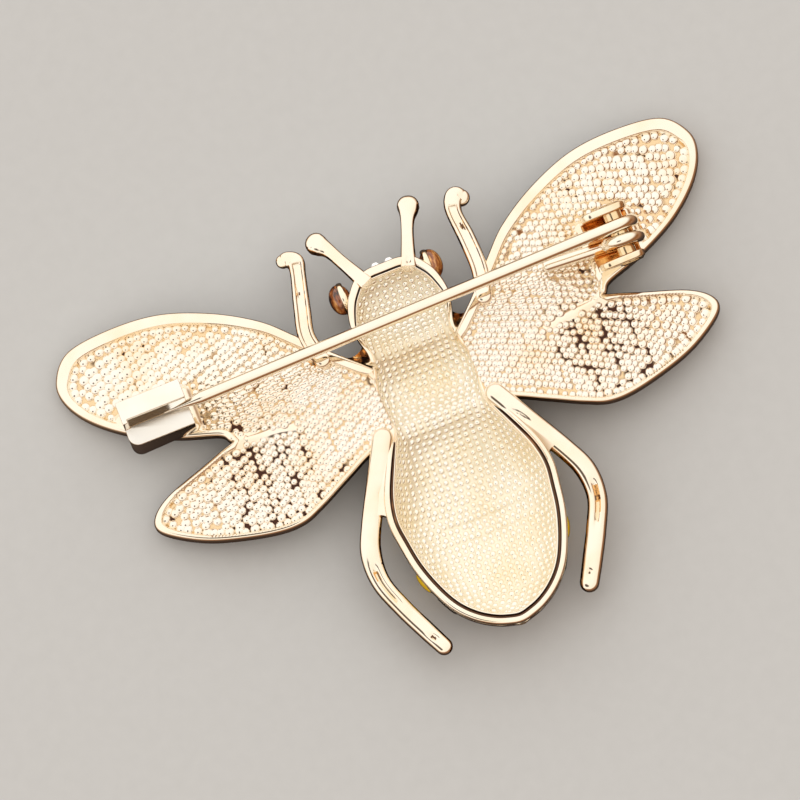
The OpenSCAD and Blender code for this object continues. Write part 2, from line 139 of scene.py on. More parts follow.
def sums(tree, first, factor, extra):
    """first * factor + extra"""
    return node(tree, "ShaderNodeMath", {"operation": "MULTIPLY_ADD"}, n0=first, n1=factor,
                n2=extra).outputs["Value"]


def noise(tree, spot, scale, detail, **more):
    return node(tree, "ShaderNodeTexNoise", Vector=spot, Scale=scale, Detail=detail,
                **more).outputs["Fac"]


def relief(tree, strength, height, depth=0.02):
    return node(tree, "ShaderNodeBump", Strength=strength, Distance=depth * MM,
                Height=height).outputs["Normal"]


def colour_ramp(tree, share, *stops):
    """Colours by a share: the two outer stops first, then any between them."""
    ramp = node(tree, "ShaderNodeValToRGB", Fac=share)
    marks = ramp.color_ramp.elements
    for k, (place, colour) in enumerate(stops):
        mark = marks[k] if k < 2 else marks.new(place)
        mark.position, mark.color = place, (*colour, 1)
    return ramp.outputs["Color"]


def feed(shader, **sources):
    for key, source in sources.items():
        shader.id_data.links.new(source, shader.inputs[key.replace("_", " ")])


print("materials that came with the solids:", len(bpy.data.materials))

# %% [markdown]
# ## Light
# Polished metal shows only what stands round it. The brooch lies in a light tent: a soft white
# dome that fades to dark near the table, with an opening for the lens. The dome gives the broad
# cream reflections, its dark foot draws the brown lines along each edge, and the opening is the
# small dark dot on each pebble. Lights alone would leave hard bright spots on polished gold.

# %% The light tent
BRIGHT, DIM = (1.18, 1.15, 1.11, 1), (1.07, 1.0, 0.89, 1)
FOOT_LIT, FOOT_SHADE, OPENING = (0.8, 0.6, 0.4, 1), (0.3, 0.13, 0.05, 1), (0.13, 0.1, 0.08, 1)
ASIDE, HOLE_EDGE, HOLE_CORE = math.radians(22), math.radians(14), math.radians(9)
WALL_FADE, FOOT_FADE, RISE_FADE, RISE_SLANT = (-0.7, 0.5), (-0.5, 0.6), (0.08, 0.5), 0.4
lit_side = (away.cross(up) * 0.75 + up * 0.65).normalized()
lens_way = (away * math.cos(ASIDE) - Vector((1, 0, 0)) * math.sin(ASIDE)).normalized()


def smooth_range(tree, value, low, high):
    """0 below low, 1 above high and a soft step between."""
    return node(tree, "ShaderNodeMapRange", {"interpolation_type": "SMOOTHSTEP"}, Value=value,
                From_Min=low, From_Max=high).outputs["Result"]


def mixed(tree, share, first, second):
    return node(tree, "ShaderNodeMix", {"data_type": "RGBA"}, n0=share, n6=first, n7=second).outputs[2]


def towards(tree, vector, direction):
    return node(tree, "ShaderNodeVectorMath", {"operation": "DOT_PRODUCT"}, n0=vector,
                n1=direction).outputs["Value"]


tent = bpy.data.worlds.new("light_tent")
tent.use_nodes = True
tree = tent.node_tree
way = node(tree, "ShaderNodeTexCoord").outputs["Generated"]
height = node(tree, "ShaderNodeSeparateXYZ", Vector=way).outputs["Z"]
lit = smooth_range(tree, towards(tree, way, lit_side), *WALL_FADE)
foot = mixed(tree, smooth_range(tree, towards(tree, way, lit_side), *FOOT_FADE), FOOT_SHADE, FOOT_LIT)
raised = sums(tree, towards(tree, way, lit_side), RISE_SLANT, height)
wall = mixed(tree, smooth_range(tree, raised, *RISE_FADE), foot, mixed(tree, lit, DIM, BRIGHT))
hole = smooth_range(tree, towards(tree, way, lens_way), math.cos(HOLE_EDGE), math.cos(HOLE_CORE))
tree.links.new(mixed(tree, hole, wall, OPENING), tree.nodes["Background"].inputs["Color"])
scene.world = tent
scene.view_settings.view_transform = "Standard"
print("light tent: bright", BRIGHT[:3], "dim", DIM[:3], "foot", FOOT_LIT[:3], FOOT_SHADE[:3])

# %% [markdown]
# ## How plating looks
# Barrel-plated castings are polished but never flat: the surface ripples a little, thin places in
# the plating show a redder gold, and handling leaves faint smudges. On the darkest finishes the
# same patches are a dark brown instead, which is painted shade. All the gold finishes share one
# group for this, and each sets its own colours and sizes.

# %% Group: plated metal
plating, into, out = new_group(
    "plating", "ShaderNodeTree",
    [("Colour", "NodeSocketColor", (0.9, 0.7, 0.5, 1)), ("Thin", "NodeSocketColor", (0.8, 0.5, 0.3, 1)),
     ("Patch", "NodeSocketFloat", 300.0), ("Patch from", "NodeSocketFloat", 0.45),
     ("Patch to", "NodeSocketFloat", 0.75), ("Ripple", "NodeSocketFloat", 1500.0),
     ("Smooth", "NodeSocketFloat", 0.1), ("Smudge", "NodeSocketFloat", 0.1)],
    [("Colour", "NodeSocketColor"), ("Roughness", "NodeSocketFloat"), ("Height", "NodeSocketFloat")])
spot = object_place(plating)
patches = noise(plating, spot, into.outputs["Patch"], 3.0)
mask = node(plating, "ShaderNodeMapRange", Value=patches, From_Min=into.outputs["Patch from"],
            From_Max=into.outputs["Patch to"])
# The second colour is a redder gold of thin plating on most finishes, and a dark brown of painted shade on
# the darkest ones.
tint = mixed(plating, mask.outputs["Result"], into.outputs["Colour"], into.outputs["Thin"])
smudges = noise(plating, spot, 420.0, 4.0, Roughness=0.6)
rough = sums(plating, smudges, into.outputs["Smudge"], into.outputs["Smooth"])
feed(out, Colour=tint, Roughness=rough, Height=noise(plating, spot, into.outputs["Ripple"], 2.0))
print("group:", plating.name)

# %% [markdown]
# One bath of plating looks different on each face: bright where it was polished and satin in the
# bowl. The grooves, the floor between the pebbles, one flank of each limb and the bracket's hollows
# get brown or orange golds instead, which are painted shade and painted reflection. Each finish is
# the same Principled metal with its own colours, patches and smoothness, so all of them stay one
# family.
# A photo texture would show all this at once, but it would fit one view only.

# %% Gold finishes
def gold(name, colour, thin, patch=260.0, patch_low=0.45, patch_high=0.75, ripple=900.0, smooth=0.1,
         smudge=0.08, bump=0.05):
    material, tree, shader = new_material(name, Metallic=1.0)
    cover = node(tree, "ShaderNodeGroup", {"node_tree": plating}, Colour=(*colour, 1),
                 Thin=(*thin, 1), Patch=patch, Patch_from=patch_low, Patch_to=patch_high,
                 Ripple=ripple, Smooth=smooth, Smudge=smudge)
    feed(shader, Base_Color=cover.outputs["Colour"], Roughness=cover.outputs["Roughness"],
         Normal=relief(tree, bump, cover.outputs["Height"]))
    return material


polished_gold = gold("polished_gold", (0.98, 0.88, 0.73), (0.96, 0.8, 0.58), smooth=0.05,
                     smudge=0.06, bump=0.12)
bowl_gold = gold("bowl_gold", (1.0, 0.92, 0.74), (0.98, 0.86, 0.64), ripple=2600.0, smooth=0.42,
                 bump=0.2)
pebble_gold = gold("pebble_gold", (0.97, 0.9, 0.8), (0.95, 0.8, 0.6), smooth=0.05, smudge=0.07,
                   bump=0.1)
bowl_pebble_gold = gold("bowl_pebble_gold", (0.97, 0.93, 0.84), (0.95, 0.85, 0.66), smooth=0.06,
                        bump=0.1)
# Painted shade: the wing floor between the pebbles is a darker, browner gold with near-black patches,
# darker still in the middle of each hindwing.
floor_shade_gold = gold("floor_shade_gold", (0.86, 0.64, 0.38), (0.25, 0.1, 0.04), patch=420.0, patch_low=0.6,
                  patch_high=0.68, ripple=3000.0, smooth=0.15, smudge=0.15, bump=0.3)
# Painted shade: a near-black brown gold for the rim's groove, the back of the catch's fold and the insides
# of the pits.
groove_shade_gold = gold("groove_shade_gold", (0.16, 0.08, 0.045), (0.4, 0.2, 0.1), patch=300.0, patch_low=0.6,
                   patch_high=0.7, smooth=0.25, smudge=0.15)
# Painted reflection and painted shade: an orange gold with near-black patches for one flank of each limb
# and the bottom of the neck's hollows.
flank_shade_gold = gold("flank_shade_gold", (0.86, 0.5, 0.2), (0.1, 0.035, 0.015), patch=1300.0,
                  patch_low=0.46, patch_high=0.56, smooth=0.12, bump=0.4)
# Painted reflection and painted shade: a deep orange gold for the bracket's base and the ears' inner sides.
hollow_reflection_gold = gold("hollow_reflection_gold", (0.85, 0.42, 0.12), (0.3, 0.08, 0.02), patch=900.0, smooth=0.12,
                   bump=0.3)
shade_gold = gold("shade_gold", (0.85, 0.78, 0.68), (0.78, 0.68, 0.55), smooth=0.2)
shelf_gold = gold("shelf_gold", (0.93, 0.9, 0.84), (0.9, 0.85, 0.76), patch=120.0, smooth=0.36,
                  smudge=0.04)
sheet_gold = gold("sheet_gold", (0.96, 0.91, 0.82), (0.94, 0.86, 0.7), ripple=350.0, smooth=0.06,
                  bump=0.06)
bracket_gold = gold("bracket_gold", (0.97, 0.88, 0.7), (0.9, 0.68, 0.4), patch=500.0, smooth=0.07,
                    bump=0.15)
rivet_gold = gold("rivet_gold", (0.92, 0.72, 0.44), (0.8, 0.52, 0.26), patch=600.0, bump=0.2)
wire_gold = gold("wire_gold", (0.96, 0.89, 0.76), (0.94, 0.84, 0.67), patch=120.0, ripple=500.0,
                 smooth=0.08)
print("gold finishes:", sum(m.name.endswith("gold") for m in bpy.data.materials))

# %% [markdown]
# Two places on the real back mirror nothing bright: the deep gaps between the pebbles in the
# middle of each hindwing, and the inside of the catch under its leaf. A second light would not
# darken them, so the gold there gets a darker colour, mixed in by its place on the object.

# %% Darker gold where no light gets in
DEEPEST = (13.8, 1.2)  # the middle of the right hindwing; the left one mirrors it
DEEP_FROM, DEEP_TO = 5.5 * MM, 2.0 * MM


def darken(material, make_share, dark):
    tree = material.node_tree
    base = tree.nodes["Principled BSDF"].inputs["Base Color"]
    share = make_share(tree, object_place(tree))
    tree.links.new(mixed(tree, share, base.links[0].from_socket, dark), base)


def hindwing_middle(tree, spot):
    folded = node(tree, "ShaderNodeVectorMath", {"operation": "ABSOLUTE"}, n0=spot).outputs["Vector"]
    away_from = node(tree, "ShaderNodeVectorMath", {"operation": "DISTANCE"}, n0=folded,
                     n1=(DEEPEST[0] * MM, DEEPEST[1] * MM, 3 * MM))
    middle = smooth_range(tree, away_from.outputs["Value"], DEEP_FROM, DEEP_TO)
    return smooth_range(tree, sums(tree, middle, 0.28, noise(tree, spot, 520.0, 2.0)), 0.58, 0.66)


def inside_fold(tree, spot):
    deep = node(tree, "ShaderNodeSeparateXYZ", Vector=spot).outputs["Y"]
    return smooth_range(tree, deep, 7.7 * MM, 8.5 * MM)


darken(floor_shade_gold, hindwing_middle, (0.07, 0.03, 0.02, 1))
darken(shade_gold, inside_fold, (0.2, 0.165, 0.14, 1))
print("darkened:", floor_shade_gold.name, shade_gold.name)

# %% [markdown]
# ## Pieces from points
# Most pieces are closed skins through rings of points that follow the solids' own rules, in
# millimetres. Making them here rather than smoothing the faceted solids keeps crisp edges
# crisp, and gives each edge the small radius that catches the light.

# %% Mesh helpers
def new_piece(name, points, faces, *materials, sharp=38):
    """An object from points in millimetres, with its edges sharp beyond an angle in degrees."""
    mesh = bpy.data.meshes.new(name)
    mesh.from_pydata((np.asarray(points, float) * MM).tolist(), [], [[int(i) for i in f] for f in faces])
    obj = bpy.data.objects.new(name, mesh)
    scene.collection.objects.link(obj)
    for material in materials:
        mesh.materials.append(material)
    tidy(mesh, sharp)
    return obj


def tidy(mesh, sharp=38):
    cleaned = bmesh.new()
    cleaned.from_mesh(mesh)
    bmesh.ops.remove_doubles(cleaned, verts=cleaned.verts, dist=2e-7)
    bmesh.ops.recalc_face_normals(cleaned, faces=cleaned.faces)
    cleaned.to_mesh(mesh)
    cleaned.free()
    mesh.shade_smooth()
    mesh.set_sharp_from_angle(angle=math.radians(sharp))


def triangles(obj):
    return sum(len(p.vertices) - 2 for p in obj.data.polygons)


def bake(obj):
    """Put the mesh that the modifiers make in the place of the object's own."""
    bpy.context.view_layer.update()
    baked = bpy.data.meshes.new_from_object(obj.evaluated_get(bpy.context.evaluated_depsgraph_get()))
    obj.modifiers.clear()
    obj.data = baked


def give_finish(obj, slot, picked):
    """Give a material slot to the faces that picked(face) chooses."""
    for face in obj.data.polygons:
        if picked(face):
            face.material_index = slot


def skin_through(rings, closed=False):
    """A skin through rings of points, with two end faces or joined round to its first ring."""
    rings = np.asarray(rings, float)
    count, size = rings.shape[:2]
    faces = [(k * size + i, k * size + (i + 1) % size, (k + 1) % count * size + (i + 1) % size,
              (k + 1) % count * size + i) for k in range(count - (not closed)) for i in range(size)]
    if not closed:
        faces += [tuple(range(size))[::-1], tuple(range((count - 1) * size, count * size))]
    return rings.reshape(-1, 3), faces


print("lengths are in mm, times", MM)

# %% [markdown]
# A few rules of plane geometry serve many pieces: a soft step, the angles of a full turn, the
# length along a path, the direction that points inwards from an outline, and a curve through
# points. Blender's curves could do some of this, but plain numbers can be used for heights and
# widths as well, and they can be checked.

# %% Rules for lines and outlines
def step_up(low, high, x):
    t = np.clip((x - low) / (high - low), 0, 1)
    return t * t * (3 - 2 * t)


def full_turn(count):
    return np.linspace(0, 2 * np.pi, count, endpoint=False)


def run_of(points):
    """The length along a path up to each of its points."""
    return np.concatenate([[0], np.cumsum(np.linalg.norm(np.diff(points, axis=0), axis=1))])


def even(points, gap):
    """The same path with points at even distances."""
    run = run_of(points)
    at = np.linspace(0, run[-1], int(run[-1] / gap) + 1)
    return np.stack([np.interp(at, run, points[:, k]) for k in range(points.shape[1])], -1)


def rounded(points, reach):
    """A closed path whose corners are rounded by a moving average."""
    kernel = np.ones(2 * reach + 1) / (2 * reach + 1)
    wrapped = np.concatenate([points[-reach:], points, points[:reach]])
    return np.stack([np.convolve(wrapped[:, k], kernel, "valid") for k in range(points.shape[1])], -1)


def inward_of(loop, way=1):
    """Unit vectors at right angles to a closed path, to its left or, with way -1, its right."""
    ahead = np.roll(loop, -1, 0) - np.roll(loop, 1, 0)
    return way * np.column_stack([-ahead[:, 1], ahead[:, 0]]) / np.linalg.norm(ahead, axis=1)[:, None]


def curve_through(points, steps):
    """A smooth curve from the second point to the last but one. The outer two only steer it."""
    t = (np.arange(steps) / steps)[:, None]
    return np.concatenate([0.5 * (2 * b + (c - a) * t + (2 * a - 5 * b + 4 * c - d) * t**2
                                  + (3 * b - a - 3 * c + d) * t**3)
                           for a, b, c, d in zip(points, points[1:], points[2:], points[3:])])


def grid_points(x_from, x_to, y_from, y_to, step):
    x, y = np.meshgrid(np.arange(x_from, x_to, step), np.arange(y_from, y_to, step))
    return np.stack([x, y], -1).reshape(-1, 2)


print("a full turn in 4:", full_turn(4).round(2))

# %% [markdown]
# ## The body's rule
# Head, thorax and abdomen are one shell. A table gives its half width, the height of its back
# rim and of its front crest, and the rim's width along the length; a smooth curve runs through
# the rows. The cross-section is a little squarer than an ellipse.

# %% The body's table
BODY_LEN, HEAD_Y, HEAD_SHIFT, HALF_W, DEPTH, WALL, RIM_W = 30.2, 12.85, 0.4, 6.7, 5.0, 0.9, 0.9
FULLNESS, BOWL_FROM, BOWL_TO, BOWL_LEAST = 0.78, 0.022, 0.968, 0.3
BODY = np.array([  # share of the length, half width, back rim, front crest, width of the rim
    [0.000, 0.19, 0.84, 0.60, 0.80], [0.014, 0.36, 0.84, 0.48, 0.75], [0.036, 0.45, 0.84, 0.34, 0.70],
    [0.068, 0.54, 0.84, 0.24, 0.65], [0.127, 0.60, 0.84, 0.20, 0.50], [0.170, 0.57, 0.84, 0.30, 0.45],
    [0.216, 0.52, 0.82, 0.44, 0.45], [0.250, 0.55, 0.79, 0.30, 0.45], [0.300, 0.61, 0.79, 0.14, 0.45],
    [0.360, 0.61, 0.79, 0.18, 0.50], [0.405, 0.60, 0.82, 0.36, 0.55], [0.435, 0.64, 0.90, 0.32, 0.65],
    [0.483, 0.75, 0.98, 0.16, 0.85], [0.575, 0.94, 1.00, 0.03, 1.00], [0.644, 1.00, 1.00, 0.00, 1.00],
    [0.712, 0.97, 1.00, 0.01, 1.00], [0.777, 0.92, 1.00, 0.05, 1.00], [0.850, 0.81, 1.00, 0.14, 1.00],
    [0.910, 0.67, 1.00, 0.28, 1.00], [0.955, 0.48, 1.00, 0.44, 1.00], [0.985, 0.26, 1.00, 0.62, 1.00],
    [1.000, 0.05, 1.00, 0.76, 1.00]])


def column(col, u):
    x, y = BODY[:, 0], BODY[:, col]
    at = np.arange(len(x))
    low, high = np.maximum(at - 1, 0), np.minimum(at + 1, len(x) - 1)
    slope = (y[high] - y[low]) / (x[high] - x[low])
    i = np.clip(np.searchsorted(x, u, side="right") - 1, 0, len(x) - 2)
    step = x[i + 1] - x[i]
    t = np.clip((u - x[i]) / step, 0, 1)
    return ((2 * t**3 - 3 * t**2 + 1) * y[i] + (t**3 - 2 * t**2 + t) * step * slope[i]
            + (3 * t**2 - 2 * t**3) * y[i + 1] + (t**3 - t**2) * step * slope[i + 1])


def half_w(u):
    return column(1, u) * HALF_W


def rim_z(u):
    return column(2, u) * DEPTH


def crest_z(u):
    return column(3, u) * DEPTH


def wall_w(u):
    return column(4, u) * RIM_W


def wall_across(u):
    """The wall's width along X. It grows where the outline runs aslant."""
    d = 0.004
    aslant = (half_w(np.minimum(1, u + d)) - half_w(np.maximum(0, u - d))) / (2 * d * BODY_LEN)
    return wall_w(u) * np.sqrt(1 + aslant**2)


def bowl_w(u):
    return np.maximum(BOWL_LEAST, half_w(u) - wall_across(u))


def body_x(u):
    return HEAD_SHIFT * (1 - u) ** 2


def body_y(u):
    return HEAD_Y - u * BODY_LEN


def share_at(y):
    """The share of the body's length at a y: 0 at the head, 1 at the tail."""
    return np.clip((HEAD_Y - y) / BODY_LEN, 0, 1)


def section(u, angle, wide, top, crest):
    """Points of a cross-section, from the rim at angle 0 over the crest to the rim at pi."""
    c, s = np.cos(angle), np.clip(np.sin(angle), 0, 1)
    x = body_x(u) + np.sign(c) * wide * np.abs(c) ** FULLNESS
    return np.stack([x, body_y(u) + 0 * x, top - (top - crest) * s**FULLNESS], -1)


print("widest half:", round(float(half_w(np.array([0.644]))[0]), 2), "mm")

# %% [markdown]
# ## The shell
# At each station the ring runs round the front, over the flat top of the left wall, down into
# the bowl and back over the right wall. Where a band of enamel lies, the skin is sunk to hold
# it. The bowl has three faint creases across it, where the wax for the casting was joined.

# %% Shell
BANDS, BAND_LEN, BAND_GAP, BANDS_FROM, BAND_ANGLE, ENAMEL = 5, 2.1, 0.25, 0.535, 14.0, 0.45
BAND_SINK, RIM_DROP, SHELL_DROP = 0.3, 0.26, 0.45
CREASES = ((-0.4, 0.01, 0.1), (-7.6, 0.018, 0.09), (-9.0, 0.02, 0.08))  # y, bend and height
band_edges = [(BANDS_FROM + k * (BAND_LEN + BAND_GAP) / BODY_LEN,
               BANDS_FROM + (k * (BAND_LEN + BAND_GAP) + BAND_LEN) / BODY_LEN) for k in range(BANDS)]
stations = list((1 - np.cos(np.linspace(0, np.pi, 170))) / 2)
for start, end in band_edges:
    stations += [start - 0.0006, start + 0.0006, end - 0.0006, end + 0.0006]
stations = np.array(sorted(stations))


def crease(y, x):
    return sum(h * np.exp(-((y - at - bend * x * x) / 0.16) ** 2) for at, bend, h in CREASES)


def bowl_point(u, angle):
    opened = (np.sqrt(np.clip((u - BOWL_FROM) / 0.02, 0, 1))
              * np.sqrt(np.clip((BOWL_TO - u) / 0.022, 0, 1)))
    top, low = rim_z(u) - SHELL_DROP, crest_z(u) + WALL
    p = section(u, angle, bowl_w(u), top, top + (low - top) * opened)
    p[..., 2] += opened * np.clip(np.sin(angle), 0, 1) * crease(p[..., 1], p[..., 0])
    return p


def in_bowl(face):
    spot = sum((shell.data.vertices[v].co / MM for v in face.vertices), Vector()) / len(face.vertices)
    u = share_at(spot.y)
    return (face.normal.z > -0.2 and abs(spot.x - body_x(u)) < bowl_w(u) + 0.02
            and spot.z < rim_z(u) - 0.2)


rings = []
for u in stations:
    angle = np.linspace(0, np.pi, 85)
    off_rim = np.degrees(np.minimum(angle, np.pi - angle)) - BAND_ANGLE
    in_band = any(start < u < end for start, end in band_edges)
    sunk = BAND_SINK * in_band * np.clip((off_rim + 1.5) / 1.5, 0, 1)
    outer = section(u, angle, half_w(u) - sunk, rim_z(u) - SHELL_DROP, crest_z(u) + sunk)
    rings.append(np.concatenate([outer, bowl_point(u, np.linspace(np.pi, 0, 72))]))
shell = new_piece("casting_shell", *skin_through(rings), polished_gold, bowl_gold, sharp=50)
give_finish(shell, 1, in_bowl)
print("shell:", triangles(shell), "triangles")

# %% [markdown]
# ## The rim
# The wall ends in a polished rim with a thin inner lip, a groove and a rounded outer band. It
# goes round the whole body at an even width, so it is one profile that is swept along the
# outline and offset at right angles to it. Cut across the body instead, as the shell is, it
# would be stretched wherever the outline runs aslant.

# %% Rim
RIM_SHAPE = [  # how far out across the wall, the same on the head, and the drop
    (0, 0, -2), (0, 0, -0.75), (0.03, 0.02, -0.35), (0.08, 0.06, -0.1), (0.14, 0.1, 0),
    (0.19, 0.14, -0.02), (0.22, 0.17, -0.3), (0.24, 0.19, -1.1), (0.27, 0.2, -1.5),
    (0.38, 0.24, -1.5), (0.42, 0.26, -1.1), (0.45, 0.28, -0.3), (0.5, 0.32, -0.05),
    (0.58, 0.42, 0), (0.75, 0.75, 0), (0.85, 0.85, -0.08), (0.93, 0.93, -0.26),
    (0.98, 0.98, -0.55), (1, 1, -0.95), (1, 1, -2)]
GROOVE = range(6, 12)

down = (1 - np.cos(np.linspace(0, np.pi, 400))) / 2
right, left = (np.column_stack([body_x(down) + side * half_w(down), body_y(down)]) for side in (1, -1))
outline = rounded(even(np.concatenate([right, left[::-1], right[:1]]), 0.12)[:-1], 3)
inward = inward_of(outline, -1)
u = share_at(outline[:, 1])
width = wall_w(u) * (1.4 - 0.4 * step_up(0.1, 0.17, u))
on_thorax = step_up(0.14, 0.2, u) * (1 - step_up(0.42, 0.47, u))
on_head = 1 - step_up(0.4, 0.5, u)
lines = []
for k, (share, head_share, drop) in enumerate(RIM_SHAPE):
    drop = drop * (1 - 0.75 * on_thorax) if k in GROOVE else drop + 0 * u
    across = 1 - share - (head_share - share) * on_head
    place = outline + inward * (width * across)[:, None]
    lines.append(np.column_stack([place, rim_z(u) + RIM_DROP * drop]))
rim = new_piece("casting_rim", *skin_through(lines, closed=True), polished_gold, groove_shade_gold, sharp=60)
# The groove, except on the thorax, gets the near-black gold of painted shade.
give_finish(rim, 1, lambda face: face.index // len(outline) in GROOVE
            and on_thorax[face.index % len(outline)] < 0.5)
print("rim:", len(outline), "stations,", triangles(rim), "triangles")

# %% [markdown]
# ## The wings
# The four wings are two plates, one on each side: fore and hind wing share a pebbled floor near
# the body. A plate is a map of heights over its outline. The distance to the outline decides
# everything: first a rounded edge, then the polished rim, then the step down to the floor.

# %% Wing outlines
FORE_REACH, FORE_TOP, HIND_REACH, HIND_LOW, NOTCH_Y = 26.25, 16.35, 23.15, -3.85, 4.3
WING_T, ROOT_Z, ROOT_X, DROOP, RECESS = 1.6, 4.6, 4.0, 1.3, 0.5
FORE = np.array([
    [0.579, 0.000], [0.610, 0.066], [0.724, 0.162], [0.850, 0.311], [0.945, 0.494], [0.994, 0.672],
    [0.994, 0.825], [0.933, 0.970], [0.800, 1.000], [0.648, 0.960], [0.503, 0.830], [0.381, 0.658],
    [0.300, 0.480], [0.210, 0.266], [0.120, 0.070], [0.080, -0.060], [0.220, -0.045], [0.343, -0.018],
    [0.490, -0.010]]) * [FORE_REACH, FORE_TOP - NOTCH_Y] + [0, NOTCH_Y]
HIND = np.array([
    [0.657, 0.000], [0.778, 0.100], [0.920, 0.226], [0.988, 0.365], [0.990, 0.512], [0.911, 0.692],
    [0.808, 0.836], [0.648, 0.968], [0.544, 0.990], [0.462, 0.914], [0.346, 0.757], [0.242, 0.620],
    [0.130, 0.560], [0.080, 0.100], [0.260, -0.070], [0.389, -0.016], [0.560, -0.012]]) \
    * [HIND_REACH, HIND_LOW - NOTCH_Y] + [0, NOTCH_Y]
STEPS = 20


def edge_part(points, stretches, way):
    """An even path along the first stretches between the points of a closed curve."""
    closed = curve_through(np.concatenate([points[-1:], points, points[:2]]), STEPS)
    return even(closed[:stretches * STEPS + 1][::way], 0.13)


fore_edge = edge_part(FORE, 14, 1)
hind_edge = edge_part(HIND, 12, -1)
edge = np.concatenate([fore_edge, hind_edge[:-1]])
edge_inward = inward_of(edge)
on_fore = np.arange(len(edge)) < len(fore_edge)
outward = -edge_inward
rim_w = np.where(on_fore,
                 0.5 + np.maximum(0, outward @ [0.12, 0.57]) + 0.3 * np.maximum(0, outward[:, 0]) ** 2,
                 0.46 + 0.3 * np.maximum(0, outward[:, 0]) ** 2)
rim_w = rounded(rim_w[:, None], 7)[:, 0]
print("edge points:", len(edge), "rim", rim_w.min().round(2), "to", rim_w.max().round(2), "mm")

# %% [markdown]
# The real wing bends down a little towards its tip, its rim is rounded, and the floor inside
# the rim lies lower. It rises again to two flat pads, where the hinge and the catch are
# soldered on. From the notch between the wings a low fold runs inwards, where the hindwing's
# upper rim goes on. All this is a height at each point of the outline's inside.

# %% Heights over the wing
EDGE_R, FRONT_R, FRONT_UNDER = 0.3, 0.9, 0.75
CATCH_PAD, HINGE_PAD = (17.35, 6.14, 22.5, 9.43), (15.5, 5.5, 19.1, 9.9)  # from x, y to x, y
FOLD_X, FOLD_SLOPE, FOLD_WIDTH, FOLD_DROP = 15.2, 0.17, 0.52, 0.05


def back_z(x):
    out_by = np.maximum(0, np.abs(x) - ROOT_X)
    return ROOT_Z - (ROOT_Z - WING_T) * (out_by / (FORE_REACH - ROOT_X)) ** DROOP


def to_edge(p):
    """The distance to the outline, and the number of its nearest point."""
    found, nearest = np.empty(len(p)), np.empty(len(p), int)
    for k in range(0, len(p), 1500):
        gap = np.linalg.norm(p[k:k + 1500, None] - edge[None], axis=2)
        nearest[k:k + 1500] = gap.argmin(1)
        found[k:k + 1500] = gap.min(1)
    return found, nearest


def inside_edge(p):
    hit = np.zeros(len(p), bool)
    for (ax, ay), (bx, by) in zip(edge, np.roll(edge, -1, 0)):
        crossing = (ay > p[:, 1]) != (by > p[:, 1])
        with np.errstate(divide="ignore", invalid="ignore"):
            hit ^= crossing & (p[:, 0] < (bx - ax) * (p[:, 1] - ay) / (by - ay) + ax)
    return hit


def pad_gap(p, side):
    """The distance to the pad: the hinge's on the right wing, the catch's on the left one."""
    x0, y0, x1, y1 = HINGE_PAD if side > 0 else CATCH_PAD
    dx = np.maximum(np.maximum(x0 - p[:, 0], p[:, 0] - x1), 0)
    dy = np.maximum(np.maximum(y0 - p[:, 1], p[:, 1] - y1), 0)
    return np.hypot(dx, dy)


def ridge(p):
    """The hindwing's upper rim runs on inwards from the notch and sinks into the floor."""
    along_it = step_up(7.6, 11.5, p[:, 0]) * (1 - step_up(FOLD_X, FOLD_X + 1.4, p[:, 0]))
    line = NOTCH_Y - FOLD_DROP - FOLD_SLOPE * (FOLD_X - p[:, 0])
    return along_it * np.exp(-(((p[:, 1] - line) / FOLD_WIDTH) ** 2))


def wing_heights(p, side):
    """The back, the front, and how far each point is down on the floor, from 0 to 1."""
    gap, nearest = to_edge(p)
    width = rim_w[nearest]
    fold = ridge(p) * (0.4 + 0.6 * step_up(12.2, 15.0, p[:, 0]))
    floor = (step_up(width - 0.12, width + 0.16, gap) * (1 - fold)
             * step_up(0.05, 0.8, pad_gap(p, side)))
    edge_drop = EDGE_R - np.sqrt(np.maximum(0, EDGE_R**2 - np.maximum(0, EDGE_R - gap) ** 2))
    top = back_z(p[:, 0]) - RECESS * floor - edge_drop
    t = np.clip(1 - gap / FRONT_R, 0, 1)
    under = back_z(p[:, 0]) - WING_T + FRONT_UNDER * (1 - np.sqrt(1 - t * t))
    return top, under, floor


ends = back_z(np.array([ROOT_X, FORE_REACH])).round(2)
print("the wing's back lies", ends[0], "mm high at the root and", ends[1], "mm at the tip")

# %% [markdown]
# For a plate, points are spread over the outline, closer together at the rim, the fold and the
# pads, and joined to triangles. A plain grid would need many times the points for an edge this
# smooth, and a subdivided outline would wrinkle. The front is the same net, lower down.

# %% Wing plates
EDGE_INSETS, RIM_INSETS = (0.03, 0.08, 0.14, 0.21, 0.3), (-0.12, -0.05, 0.02, 0.09, 0.16, 0.4)


def wing_net(side):
    """Points over a wing: rows along its edge and rim, a grid, and a finer one where it bends."""
    kept = [edge]
    for by, every in ([(np.full(len(edge), d), 1) for d in EDGE_INSETS]
                      + [(rim_w + d, 2) for d in RIM_INSETS]):
        p = (edge + edge_inward * by[:, None])[::every]
        kept.append(p[(to_edge(p)[0] > 0.97 * by[::every]) & inside_edge(p)])
    grid = grid_points(1.5, 26.5, -4, 16.5, 0.36)
    grid[:, 0] += np.where(np.arange(len(grid)) // 70 % 2, 0.18, 0)  # 70 to a row
    fine = grid_points(7.5, 25, 2, 15, 0.15)
    by_pad = pad_gap(fine, side)
    fine = fine[(ridge(fine) > 0.03) | ((by_pad > -0.1) & (by_pad < 1.1))]
    grid = np.concatenate([grid[ridge(grid) < 0.03], fine])
    gap, nearest = to_edge(grid)
    return np.concatenate(kept + [grid[(gap > rim_w[nearest] + 0.5) & inside_edge(grid)]])


